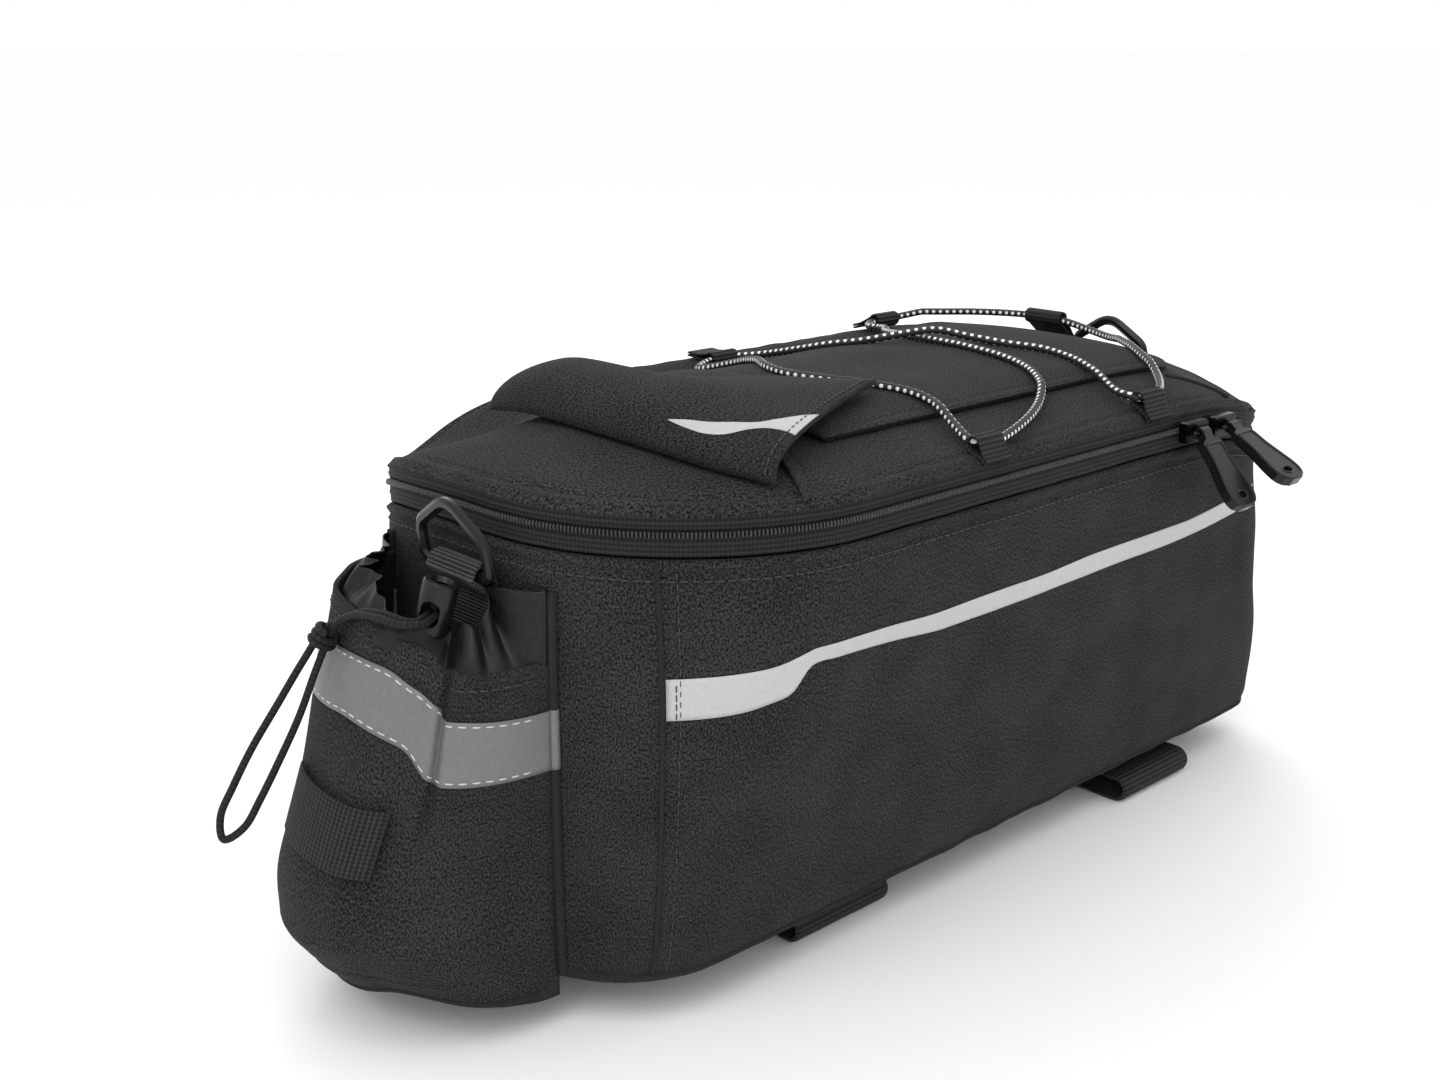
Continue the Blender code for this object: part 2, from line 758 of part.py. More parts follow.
def net_loop(name, cord_point, foot, width, way, collection):
    """Webbing folded round the net's cord and sewn together below it. Way is the cord's direction."""
    reach = cord_point - foot
    length = reach.length
    hole = NET_CORD_RADIUS + LOOP_CLEARANCE
    outer = hole + NET_LOOP_WALL
    half = NET_LOOP_FOOT / 2
    fold = [(outer * math.cos(math.radians(a)), outer * math.sin(math.radians(a))) for a in range(-110, 111, 20)]
    shape = fold + [(-length * 0.6, half), (-length, half), (-length, -half), (-length * 0.6, -half)]
    loop = flat_shape(name, (shape, circle(0, 0, hole, 14)), width, collection)
    along = reach.normalized()
    turn = Matrix((along, way.cross(along), way)).transposed().to_4x4()
    loop.matrix_world = Matrix.Translation(cord_point) @ turn
    return loop


def add_net_loops(collection):
    """The loops that hold the net: two on each side and one at the far end."""
    loops = []
    foot_z = ZIP_HEIGHT + TAPE_ABOVE_ZIP + NET_FOOT_RISE
    far_y = RIM_WIDTH / 2 - FAR_FOOT_INSET
    for name, (x, y, above) in NET_LOOPS.items():
        foot = Vector((x, -RIM_WIDTH / 2 - NEAR_FOOT_OUT, foot_z))
        if y > 0:
            foot = Vector((x, far_y, lid_height(x, far_y) + NET_LOOP_FOOT / 2 + 3 * GAP))
        way = Vector((1.0, 0.0, 0.0))
        loops.append(net_loop(name, net_point(x, y, above), foot, NET_LOOP_WIDTH, way, collection))
    x, y, above = END_LOOP
    foot = Vector((LENGTH + NEAR_FOOT_OUT, y, foot_z))
    way = Vector((0.0, 1.0, 0.0))
    loops.append(net_loop("net_loop_end", net_point(x, y, above), foot, END_LOOP_WIDTH, way, collection))
    return loops


def ring_points():
    """The ring's rod, its bar along local Y at the origin, pointed top up."""
    half = RING_WIDTH / 2 - RING_ROD_RADIUS
    top = RING_HEIGHT - RING_ROD_RADIUS
    shoulder = 0.56 * top
    near_top = 0.22 * half
    profile = [
        (half, RING_CORNER),
        (half, shoulder - RING_CORNER),
        (half - RING_CORNER * 0.6, shoulder + RING_CORNER * 0.7),
        (near_top, top * 0.964),
        (near_top * 0.4, top),
    ]
    right = [(half - RING_CORNER, 0.0)] + profile
    left = [(-y, z) for y, z in reversed(right)]
    return [Vector((0.0, y, z)) for y, z in right + left]


def add_ring(name, bar, lean_deg, collection):
    ring = tube(name, ring_points(), RING_ROD_RADIUS, True, collection)
    ring.location = bar
    ring.rotation_euler = (0.0, math.radians(lean_deg), 0.0)
    return ring


def add_ring_tab(name, bar, standoff, outward, lean_deg, collection):
    """Webbing folded over the ring's bar and sewn flat on the end, seen along the bar."""
    seam = RING_TAB_SEAM
    inner = RING_ROD_RADIUS + RING_CLEARANCE
    outer = inner + RING_TAB_SHEET
    back = GAP - standoff
    front = back + 2 * RING_TAB_SHEET
    fold = [(outer * math.cos(math.radians(a)), outer * math.sin(math.radians(a))) for a in range(0, 181, 20)]
    shape = fold + [(back, -seam), (back, -RING_TAB_LENGTH), (front, -RING_TAB_LENGTH)]
    shape += [(front, -outer - seam), (outer * 0.92, -outer * 0.40)]
    tab = flat_shape(name, (shape, circle(0.0, 0.0, inner, 20)), RING_TAB_WIDTH, collection)
    along = Vector((outward, 0.0, 0.0))
    up = Vector((0.0, 0.0, 1.0))
    turn = Matrix((along, up, along.cross(up))).transposed().to_4x4()
    tab.matrix_world = Matrix.Translation(bar) @ turn @ Matrix.Rotation(math.radians(lean_deg), 4, "Z")
    return tab


def add_slider(name, x, collection, helpers):
    """A zip slider on the near side, with the bridge that its pull swings on."""
    face = -RIM_WIDTH / 2 + TAPE_INSET - 2 * GAP - 2 * COIL_RADIUS
    height = ZIP_HEIGHT - corner_droop(x, -RIM_WIDTH / 2)
    bm = bmesh.new()
    bmesh.ops.create_cube(bm, size=1.0)
    bmesh.ops.scale(bm, vec=(SLIDER_LENGTH, SLIDER_DEPTH, SLIDER_HEIGHT), verts=bm.verts)
    bmesh.ops.translate(bm, vec=(0.0, -SLIDER_DEPTH / 2, 0.0), verts=bm.verts)
    edges = [e for e in bm.edges if abs(e.verts[0].co.y - e.verts[1].co.y) > SLIDER_DEPTH / 2]
    bmesh.ops.bevel(bm, geom=edges, offset=0.0018, segments=2, affect="EDGES", profile=0.5, material=-1)
    slider = finish_mesh(name, bm, collection)
    slider.location = (x, face, height)
    half = BRIDGE_SPAN / 2
    sunk = SLIDER_DEPTH * 0.5
    out = SLIDER_DEPTH + BRIDGE_REACH - BRIDGE_RADIUS
    bend = 0.0012
    path = [(-half, -sunk), (-half, -out + bend), (-half + bend * 0.3, -out + bend * 0.3), (-half + bend, -out)]
    path += [(-px, py) for px, py in reversed(path)]
    points = [Vector((x + px, face + py, height)) for px, py in path]
    bridge = made_mesh(tube(name + "_bridge", points, BRIDGE_RADIUS, False, collection), collection)
    boolean(slider, bridge, "UNION", helpers)
    return slider, Vector((x, face - out, height))


def pull_plan():
    """The pull seen flat: x across, y down from its pin, narrow neck, waist and wide round tip."""
    neck, waist, tip = PULL_NECK_WIDTH / 2, PULL_WAIST_WIDTH / 2, PULL_TIP_WIDTH / 2
    side = [
        (neck, 0.0030),
        (neck, -0.0030),
        (waist, -0.0046),
        (waist, -0.40 * PULL_LENGTH),
        (tip, -0.74 * PULL_LENGTH),
        (tip, -0.86 * PULL_LENGTH),
        (tip * 0.80, -0.95 * PULL_LENGTH),
        (tip * 0.40, -PULL_LENGTH),
    ]
    return side + [(-x, y) for x, y in reversed(side)]


def add_pull(name, pivot, angle_deg, collection, helpers):
    """A moulded pull, hanging from the slider's bridge and leaning out from the bag's side."""
    eye = BRIDGE_RADIUS + PIN_CLEARANCE
    knuckle = PULL_THICKNESS / 2 + 0.0005
    half = PULL_THICKNESS / 2
    plan = made_mesh(flat_shape(name, (pull_plan(), stadium(0, -0.84 * PULL_LENGTH, 0.0052, 0.0026)),
                                4 * PULL_THICKNESS, collection), collection)
    around = [(knuckle * math.cos(math.radians(a)), knuckle * math.sin(math.radians(a)))
              for a in range(-30, 211, 20)]
    side = around + [(-half, -0.0035), (-half, -1.1 * PULL_LENGTH), (half, -1.1 * PULL_LENGTH), (half, -0.0035)]
    profile = made_mesh(flat_shape(name + "_side", (side, circle(0, 0, eye, 12)),
                                   2 * PULL_TIP_WIDTH, collection), collection)
    profile.data.transform(Matrix.Rotation(math.radians(90), 4, "Y"))
    boolean(plan, profile, "INTERSECT", helpers)
    out_turn = Matrix.Rotation(math.radians(-angle_deg), 4, "X") @ Matrix.Rotation(math.radians(90), 4, "X")
    plan.matrix_world = Matrix.Translation(pivot) @ out_turn
    profile.matrix_world = plan.matrix_world
    return plan


def crease(place):
    """Depth share that the pocket's creases take at a place round its front."""
    total = 0.0
    for centre, width, depth in POCKET_CREASES:
        total += depth * math.exp(-((place - centre) / width) ** 2)
    return total


def pocket_point(place, z, depth_share, crease_share, inside=0.0):
    """A point of the pocket's skin. Place runs round the front from the near side to the far side."""
    angle = math.pi * place
    y = -math.cos(angle) * (POCKET_HALF_WIDTH - inside)
    out = math.sin(angle) ** 0.75
    reach = (POCKET_DEPTH * (depth_share - crease_share * crease(place)) - inside) * out
    return Vector((near_wall_x(max(abs(y) - POCKET_WALL, 0.0), z) - 1.5 * GAP - reach, y, z))


def pocket_depth_share(z):
    """The pocket's depth share at a height above its base."""
    return between(POCKET_LEVELS[7::-1], z / POCKET_HEM_HEIGHT, 1)


def pocket_crease_share(z):
    """How strongly the pocket's creases show at a height above its base."""
    return between(POCKET_LEVELS[7::-1], z / POCKET_HEM_HEIGHT, 2)


def add_bottle_pocket(collection):
    around = 28
    rows = []
    for height, depth, crease_share in POCKET_LEVELS:
        z = height * POCKET_HEM_HEIGHT
        row = [pocket_point(i / around, z, depth, crease_share) for i in range(around + 1)]
        fade = min(max(1 - height / BOTTOM_LIFT_FADE, 0.0), 1.0)
        for i, point in enumerate(row):
            off = (i / around - BOTTOM_LIFT_PLACE) / BOTTOM_LIFT_WIDTH
            point.z += BOTTOM_LIFT * math.exp(-off * off) * fade
        rows.append(row)
    pocket = sheet("bottle_pocket", rows, collection)
    solidify(pocket, POCKET_WALL)
    return pocket


def add_collar(collection):
    """The gathered nylon collar that rises out of the pocket's mouth."""
    around, levels = 48, 5
    rows = []
    low = POCKET_HEM_HEIGHT - COLLAR_OVERLAP
    for k in range(levels):
        share = 1 - k / (levels - 1)
        row = []
        for i in range(around + 1):
            place = mix(0.01, 0.99, i / around)
            top = mix(POCKET_HEM_HEIGHT, COLLAR_TOP_HEIGHT, between(COLLAR_TOP, place))
            z = mix(low, top, share)
            wave = math.sin(2 * math.pi * COLLAR_RUFFLES * place)
            rise = (z - low) / (COLLAR_TOP_HEIGHT - low)
            inside = POCKET_WALL + COLLAR_CLEARANCE + COLLAR_TAPER * rise
            inside += COLLAR_RUFFLE * (1 - wave) * min(2 * rise, 1.0)
            row.append(pocket_point(place, z, POCKET_LEVELS[0][1], 1.0, inside))
        rows.append(row)
    collar = sheet("pocket_collar", rows, collection)
    solidify(collar, COLLAR_WALL)
    return collar


def add_light_tab(collection):
    """A webbing tab on the pocket's front for a clip-on light, sewn at both ends."""
    around, levels = 12, 3
    rows = []
    for k in range(levels + 1):
        z = LIGHT_TAB_LOW + LIGHT_TAB_HEIGHT * (1 - k / levels)
        row = []
        for i in range(around + 1):
            share = i / around
            stand = 1.8 * GAP + LIGHT_TAB_STAND * math.sin(math.pi * share) ** 0.5
            place = LIGHT_TAB_PLACE + LIGHT_TAB_SPREAD * (2 * share - 1)
            row.append(pocket_point(place, z, pocket_depth_share(z), pocket_crease_share(z), -stand))
        rows.append(row)
    tab = sheet("light_tab", rows, collection)
    solidify(tab, LIGHT_TAB_THICKNESS, 1.0)
    return tab


def lock_matrix():
    """Local Z up the lock's barrel, local X along the way its hole runs."""
    up = -LOCK_AXIS
    out = Vector((-0.80, -0.60, 0.0))
    side = up.cross(out).normalized()
    out = side.cross(up)
    return Matrix.Translation(LOCK_TOP) @ Matrix((out, side, up)).transposed().to_4x4()


def cylinder(name, radius, low, high, collection, sides=20):
    bm = bmesh.new()
    bmesh.ops.create_cone(bm, cap_ends=True, segments=sides, radius1=radius, radius2=radius, depth=high - low)
    bmesh.ops.translate(bm, vec=(0.0, 0.0, (low + high) / 2), verts=bm.verts)
    return finish_mesh(name, bm, collection)


def add_slot(obj, name, centre_z, height, width, collection, helpers):
    """Cuts a round-ended slot through an upright piece, along its local X."""
    cutter = made_mesh(flat_shape(name, (stadium(0, 0, height, width),), 6 * LOCK_RADIUS, collection), collection)
    cutter.data.transform(Matrix.Rotation(math.radians(90), 4, "Y"))
    cutter.data.transform(Matrix.Translation((0.0, 0.0, centre_z)))
    cutter.matrix_world = lock_matrix()
    boolean(obj, cutter, "DIFFERENCE", helpers)


def add_cord_lock(collection, helpers):
    """The spring cord lock: a slotted barrel and the button that slides in it."""
    slot_middle = -LOCK_SLOT_PLACE * LOCK_LENGTH
    slot_width = 4 * DRAW_CORD_RADIUS + 2 * CORD_CLEARANCE
    barrel = cylinder("lock_barrel", LOCK_RADIUS, -LOCK_LENGTH, 0.0, collection)
    barrel.matrix_world = lock_matrix()
    bore = cylinder("lock_bore", LOCK_BORE_RADIUS, -1.5 * LOCK_LENGTH, -0.0016, collection)
    bore.matrix_world = lock_matrix()
    boolean(barrel, bore, "DIFFERENCE", helpers)
    add_slot(barrel, "lock_slot", slot_middle, LOCK_SLOT_HEIGHT, slot_width, collection, helpers)
    plunger_top = -0.0020 - BUTTON_TRAVEL
    plunger_slot_top = plunger_top - PLUNGER_END
    plunger_slot_low = slot_middle - LOCK_SLOT_HEIGHT / 2 - BUTTON_TRAVEL - CORD_CLEARANCE / 2
    cap_top = -LOCK_LENGTH - BUTTON_TRAVEL - 0.0006
    button = cylinder("lock_button", PLUNGER_RADIUS, cap_top - 0.0010, plunger_top, collection)
    button.matrix_world = lock_matrix()
    cap = cylinder("button_cap", BUTTON_RADIUS, cap_top - BUTTON_CAP_HEIGHT, cap_top, collection)
    cap.matrix_world = lock_matrix()
    boolean(button, cap, "UNION", helpers)
    add_slot(button, "plunger_slot", (plunger_slot_top + plunger_slot_low) / 2,
             plunger_slot_top - plunger_slot_low, slot_width, collection, helpers)
    return barrel, button


def strand_points():
    """The draw cord's points: out along one strand, round the bend and back along the other."""
    centres = [Vector(point) for point in DRAW_CORD_ROUTE]
    side = Vector((0.12, 0.42, 0.90)).normalized()
    first, second = [], []
    for i, centre in enumerate(centres):
        ahead = centres[min(i + 1, len(centres) - 1)] - centres[max(i - 1, 0)]
        across = ahead.normalized().cross(side.cross(ahead.normalized())).normalized()
        if i < 7:
            across = ahead.normalized().cross(Vector((0.0, 0.0, 1.0))).normalized()
        first.append(centre + across * STRAND_SPREAD[i])
        second.append(centre - across * STRAND_SPREAD[i])
    last = centres[-1]
    ahead = (last - centres[-2]).normalized()
    bend = last + ahead * CORD_BEND_DEPTH
    return first + [bend] + second[::-1]


def add_draw_cord(collection):
    return tube("draw_cord", smooth_curve(strand_points(), 3, False), DRAW_CORD_RADIUS, False, collection)


def add_knot(collection):
    """The wrap that ties the draw cord's two strands."""
    centre = Vector(DRAW_CORD_ROUTE[KNOT_PLACE])
    along = (Vector(DRAW_CORD_ROUTE[KNOT_PLACE + 1]) - Vector(DRAW_CORD_ROUTE[KNOT_PLACE - 1])).normalized()
    points = [Vector((x, y, 0.0)) for x, y in circle(0, 0, KNOT_RADIUS, 14)]
    knot = tube("cord_knot", points, KNOT_ROD_RADIUS, True, collection)
    knot.matrix_world = Matrix.Translation(centre) @ along.to_track_quat("Z", "Y").to_matrix().to_4x4()
    return knot


def add_base_straps(collection):
    """Wide webbing loops under the base, which the bag rests on and straps to a rack with."""
    straps = []
    middle_z = -BASE_SAG - GAP - STRAP_DROP / 2
    inner_drop = STRAP_DROP - 2 * STRAP_THICKNESS
    for name, (x, wider) in BASE_STRAPS.items():
        span = BASE_WIDTH + wider
        inner = stadium(0, 0, span - 2 * STRAP_THICKNESS, inner_drop, 8)
        strap = flat_shape(name, (stadium(0, 0, span, STRAP_DROP, 8), inner), STRAP_WIDTH, collection)
        strap.matrix_world = Matrix.Translation((x, 0.0, middle_z)) @ Matrix(
            ((0, 0, 1, 0), (1, 0, 0, 0), (0, 1, 0, 0), (0, 0, 0, 1)))
        straps.append(strap)
    return straps


# Assembly


def material(name):
    colour, roughness, metallic = COLOURS[name]
    made = bpy.data.materials.new(name)
    made.use_nodes = True
    shader = made.node_tree.nodes["Principled BSDF"]
    shader.inputs["Base Color"].default_value = colour
    shader.inputs["Roughness"].default_value = roughness
    shader.inputs["Metallic"].default_value = metallic
    return made


def dress(objects, finish):
    """Gives each object its own copy of a finish."""
    for obj in objects:
        copy = finish.copy()
        copy.name = obj.name
        obj.data.materials.clear()
        obj.data.materials.append(copy)


def stand_at_origin(collection, cord_names, root):
    """Moves the bag so that the middle of its box, free cord left out, stands at the origin."""
    bpy.context.view_layer.update()
    graph = bpy.context.evaluated_depsgraph_get()
    low = Vector((1e9, 1e9, 1e9))
    high = -low
    for obj in collection.objects:
        if obj.type == "EMPTY" or obj.name in cord_names:
            continue
        evaluated = obj.evaluated_get(graph)
        mesh = evaluated.to_mesh()
        for vert in mesh.vertices:
            point = evaluated.matrix_world @ vert.co
            for axis in range(3):
                low[axis] = min(low[axis], point[axis])
                high[axis] = max(high[axis], point[axis])
        evaluated.to_mesh_clear()
    root.location = (-(low.x + high.x) / 2, -(low.y + high.y) / 2, -low.z)


def main():
    for obj in list(bpy.data.objects):
        bpy.data.objects.remove(obj)
    scene = bpy.context.scene
    bag = bpy.data.collections.new("trunk_bag")
    helpers = bpy.data.collections.new("helpers")
    scene.collection.children.link(bag)
    scene.collection.children.link(helpers)
    helpers.hide_render = True
    finishes = {name: material(name) for name in COLOURS}

    dress([add_body(bag), add_lid(bag), add_top_pocket(bag), add_flap(bag)], finishes["fabric"])
    dress([add_bottle_pocket(bag)], finishes["fabric"])
    dress([add_collar(bag)], finishes["nylon"])
    dress([add_zip_tape(bag), add_light_tab(bag), *add_net_loops(bag)], finishes["webbing"])
    dress(add_base_straps(bag), finishes["webbing"])
    dress([add_zip_coil(bag)], finishes["plastic"])
    dress([add_net(bag), add_draw_cord(bag), add_knot(bag)], finishes["cord"])

    near_bar = Vector((-NEAR_STANDOFF, NEAR_BAR_Y, ZIP_HEIGHT - NEAR_BAR_DROP))
    far_bar = Vector((LENGTH + FAR_BAR_OUT, FAR_BAR_Y, ZIP_HEIGHT - FAR_BAR_DROP))
    near_tab = near_bar + Vector((0.0, NEAR_TAB_OFFSET, 0.0))
    dress([add_ring("ring_near", near_bar, NEAR_RING_LEAN_DEG, bag)], finishes["plastic"])
    dress([add_ring("ring_far", far_bar, FAR_RING_LEAN_DEG, bag)], finishes["plastic"])
    dress([add_ring_tab("ring_tab_near", near_tab, NEAR_STANDOFF, -1, 0.0, bag)], finishes["webbing"])
    dress([add_ring_tab("ring_tab_far", far_bar, FAR_STANDOFF, 1, FAR_TAB_LEAN_DEG, bag)], finishes["webbing"])

    for number, (x, angle) in SLIDER_PLACES.items():
        slider, pivot = add_slider("zip_slider_" + number, x, bag, helpers)
        pull = add_pull("zip_pull_" + number, pivot, angle, bag, helpers)
        dress([slider], finishes["metal"])
        dress([pull], finishes["plastic"])
    dress(add_cord_lock(bag, helpers), finishes["plastic"])

    root = bpy.data.objects.new("bag_origin", None)
    bag.objects.link(root)
    for obj in list(bag.objects) + list(helpers.objects):
        if obj is not root:
            obj.parent = root
    stand_at_origin(bag, ("draw_cord", "cord_knot"), root)


if __name__ == "__main__":
    main()
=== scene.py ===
"""The bicycle trunk bag in full detail: woven cloth, seams, webbing, cords, rings and reflective strips.

Shapes are worked out in the bag's own modelling frame: X from the pocket end's rim to the plain end, Y = 0 in
the middle, Z = 0 at the base seam. Every piece is then moved on to the shared frame.
"""

import logging
import math
from dataclasses import dataclass, field
from enum import Enum
from typing import Callable, Sequence

import bmesh
import bpy
from mathutils import Matrix, Vector, noise

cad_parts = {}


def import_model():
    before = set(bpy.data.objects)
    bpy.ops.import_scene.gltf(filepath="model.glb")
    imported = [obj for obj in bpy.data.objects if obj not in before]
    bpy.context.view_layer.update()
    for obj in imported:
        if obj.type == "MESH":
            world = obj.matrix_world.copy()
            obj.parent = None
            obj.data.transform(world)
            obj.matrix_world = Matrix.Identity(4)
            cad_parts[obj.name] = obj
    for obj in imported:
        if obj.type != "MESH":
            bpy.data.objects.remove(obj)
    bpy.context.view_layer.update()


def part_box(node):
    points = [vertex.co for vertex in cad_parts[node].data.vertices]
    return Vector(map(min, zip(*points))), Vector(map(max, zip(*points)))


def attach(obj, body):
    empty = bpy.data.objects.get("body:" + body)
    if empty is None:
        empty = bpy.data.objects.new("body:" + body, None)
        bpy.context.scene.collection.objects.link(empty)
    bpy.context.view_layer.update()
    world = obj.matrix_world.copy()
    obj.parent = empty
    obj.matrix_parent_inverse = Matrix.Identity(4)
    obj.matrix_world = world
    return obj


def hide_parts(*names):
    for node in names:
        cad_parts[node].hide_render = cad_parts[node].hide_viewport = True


LOG = logging.getLogger("trunk_bag")
BODY = "bag"
# Distance between the bands of a wave texture of scale 1, in metres.
WAVE_LENGTH = 0.3142

UP = Vector((0.0, 0.0, 1.0))
ALONG = Vector((1.0, 0.0, 0.0))
ACROSS = Vector((0.0, 1.0, 0.0))

Row = list[Vector]
Tree = bpy.types.NodeTree
Shader = bpy.types.Node
Socket = bpy.types.NodeSocket


class Weave(Enum):
    """Surface kinds that a finish can be made for."""

    CANVAS = "canvas"
    NYLON = "nylon"
    WEBBING = "webbing"
    BRAID = "braid"
    TRACER = "tracer"
    REFLECTIVE = "reflective"
    MOULDED = "moulded"
    THREAD = "thread"


# Materials


@dataclass(frozen=True)
class Finish:
    """One Principled material.

    Attributes:
        name: Material name.
        slot: Name of its material slot; not used.
        weave: Kind of surface.
        dark: Colour of its dark parts.
        light: Colour of its light parts.
        roughness: Middle roughness.
        metallic: Metallic value.
        relief: Strength of its bump.
        pitch: Distance between the ribs of a webbing or braid.
    """

    name: str
    slot: str
    weave: Weave
    dark: tuple[float, float, float]
    light: tuple[float, float, float]
    roughness: float
    metallic: float = 0.0
    relief: float = 0.3
    pitch: float = 0.00175

    def make(self) -> bpy.types.Material:
        """Builds the material's nodes.

        Returns:
            The material.
        """
        made = bpy.data.materials.new(self.name)
        made.use_nodes = True
        tree = made.node_tree
        shader = tree.nodes["Principled BSDF"]
        shader.inputs["Roughness"].default_value = self.roughness
        shader.inputs["Metallic"].default_value = self.metallic
        shader.inputs["Base Color"].default_value = (*self.light, 1.0)
        builder = {
            Weave.CANVAS: self.weave_nodes,
            Weave.NYLON: self.sheen_nodes,
            Weave.WEBBING: self.rib_nodes,
            Weave.BRAID: self.rib_nodes,
            Weave.TRACER: self.tracer_nodes,
            Weave.REFLECTIVE: self.grain_nodes,
            Weave.MOULDED: self.grain_nodes,
            Weave.THREAD: self.grain_nodes,
        }[self.weave]
        builder(tree, shader)
        return made

    def blend(self, tree: Tree, factor: Socket, low: float, high: float) -> Socket:
        """Mixes the two colours by a factor that is stretched between two values.

        Args:
            tree: The material's node tree.
            factor: Socket that drives the mix.
            low: Factor that gives the dark colour.
            high: Factor that gives the light colour.

        Returns:
            The colour socket.
        """
        ramp = tree.nodes.new("ShaderNodeValToRGB")
        ramp.color_ramp.elements[0].position = low
        ramp.color_ramp.elements[0].color = (*self.dark, 1.0)
        ramp.color_ramp.elements[1].position = high
        ramp.color_ramp.elements[1].color = (*self.light, 1.0)
        tree.links.new(factor, ramp.inputs["Fac"])
        return ramp.outputs["Color"]

    def bump(self, tree: Tree, shader: Shader, height: Socket, distance: float) -> None:
        """Adds a bump to the shader.

        Args:
            tree: The material's node tree.
            shader: Its Principled node.
            height: Socket with the height.
            distance: Depth of the bump in metres.
        """
        node = tree.nodes.new("ShaderNodeBump")
        node.inputs["Strength"].default_value = self.relief
        node.inputs["Distance"].default_value = distance
        tree.links.new(height, node.inputs["Height"])
        tree.links.new(node.outputs["Normal"], shader.inputs["Normal"])

    def wave(self, tree: Tree, vector: Socket, scale: float, direction: str) -> Socket:
        """A band texture along one axis of the UV map.

        Args:
            tree: The material's node tree.
            vector: Socket with the coordinates.
            scale: WAVE_LENGTH over the distance between bands.
            direction: "X" or "Y".

        Returns:
            The band socket.
        """
        node = tree.nodes.new("ShaderNodeTexWave")
        node.wave_type = "BANDS"
        node.bands_direction = direction
        node.inputs["Scale"].default_value = scale
        node.inputs["Distortion"].default_value = 0.0
        tree.links.new(vector, node.inputs["Vector"])
        return node.outputs["Fac"]

    def noise(self, tree: Tree, vector: Socket, scale: float, detail: float = 2.0) -> Socket:
        """A noise texture.

        Args:
            tree: The material's node tree.
            vector: Socket with the coordinates.
            scale: Cells per metre.
            detail: Noise detail.

        Returns:
            The noise socket.
        """
        node = tree.nodes.new("ShaderNodeTexNoise")
        node.inputs["Scale"].default_value = scale
        node.inputs["Detail"].default_value = detail
        tree.links.new(vector, node.inputs["Vector"])
        return node.outputs["Fac"]

    def math(self, tree: Tree, operation: str, first: Socket | float, second: Socket | float) -> Socket:
        """A maths node on two sockets or numbers.

        Args:
            tree: The material's node tree.
            operation: Name of the operation.
            first: Socket or number.
            second: Socket or number.

        Returns:
            The value socket.
        """
        node = tree.nodes.new("ShaderNodeMath")
        node.operation = operation
        for entry, value in zip(node.inputs, (first, second)):
            if isinstance(value, (int, float)):
                entry.default_value = value
            else:
                tree.links.new(value, entry)
        return node.outputs["Value"]

    def coordinates(self, tree: Tree, name: str) -> Socket:
        """A texture coordinate socket, "UV" or "Object"."""
        return tree.nodes.new("ShaderNodeTexCoord").outputs[name]

    def weave_nodes(self, tree: Tree, shader: Shader) -> None:
        """Heathered plain weave: uneven dark and light threads both ways.

        Args:
            tree: The material's node tree.
            shader: Its Principled node.
        """
        vector = self.coordinates(tree, "UV")
        warp = self.wave(tree, vector, 320.0, "X")
        weft = self.wave(tree, vector, 300.0, "Y")
        threads = self.math(tree, "MULTIPLY", warp, weft)
        stretch = tree.nodes.new("ShaderNodeMapping")
        stretch.inputs["Scale"].default_value = (1.0, 0.55, 1.0)
        tree.links.new(vector, stretch.inputs["Vector"])
        slubs = self.noise(tree, stretch.outputs["Vector"], 1750.0, 2.0)
        clouds = self.noise(tree, vector, 38.0, 3.0)
        uneven = self.math(tree, "MULTIPLY", slubs, 0.85)
        mixed = self.math(tree, "ADD", uneven, self.math(tree, "MULTIPLY", clouds, 0.15))
        tree.links.new(self.blend(tree, mixed, 0.40, 0.62), shader.inputs["Base Color"])
        height = self.math(tree, "ADD", threads, self.math(tree, "MULTIPLY", slubs, 0.8))
        self.bump(tree, shader, height, 0.00025)
        shader.inputs["Sheen Weight"].default_value = 0.02
        shader.inputs["Specular IOR Level"].default_value = 0.10

    def sheen_nodes(self, tree: Tree, shader: Shader) -> None:
        """Thin shiny cloth.

        Args:
            tree: The material's node tree.
            shader: Its Principled node.
        """
        vector = self.coordinates(tree, "UV")
        fine = self.noise(tree, vector, 900.0, 2.0)
        tree.links.new(self.blend(tree, fine, 0.3, 0.7), shader.inputs["Base Color"])
        self.bump(tree, shader, fine, 0.0002)
        shader.inputs["Specular IOR Level"].default_value = 0.28

    def rib_nodes(self, tree: Tree, shader: Shader) -> None:
        """Ribbed webbing or braid: ribs across V, with fine herringbone, and the base colour lighter on the rib
        crests and darker in the grooves as painted light and shade.

        Args:
            tree: The material's node tree.
            shader: Its Principled node.
        """
        vector = self.coordinates(tree, "UV")
        ribs = self.wave(tree, vector, WAVE_LENGTH / self.pitch, "Y")
        cross = self.wave(tree, vector, 220.0, "X")
        height = self.math(tree, "ADD", ribs, self.math(tree, "MULTIPLY", cross, 0.5))
        speck = self.noise(tree, vector, 1500.0, 2.0)
        # Base colour from the rib height plus a random speck: painted shade in the grooves and painted light on
        # the crests, with the speck as the yarn's own tone.
        mixed = self.math(tree, "MULTIPLY", self.math(tree, "ADD", height, speck), 0.4)
        tree.links.new(self.blend(tree, mixed, 0.25, 0.8), shader.inputs["Base Color"])
        self.bump(tree, shader, height, 0.0003)
        shader.inputs["Specular IOR Level"].default_value = 0.20

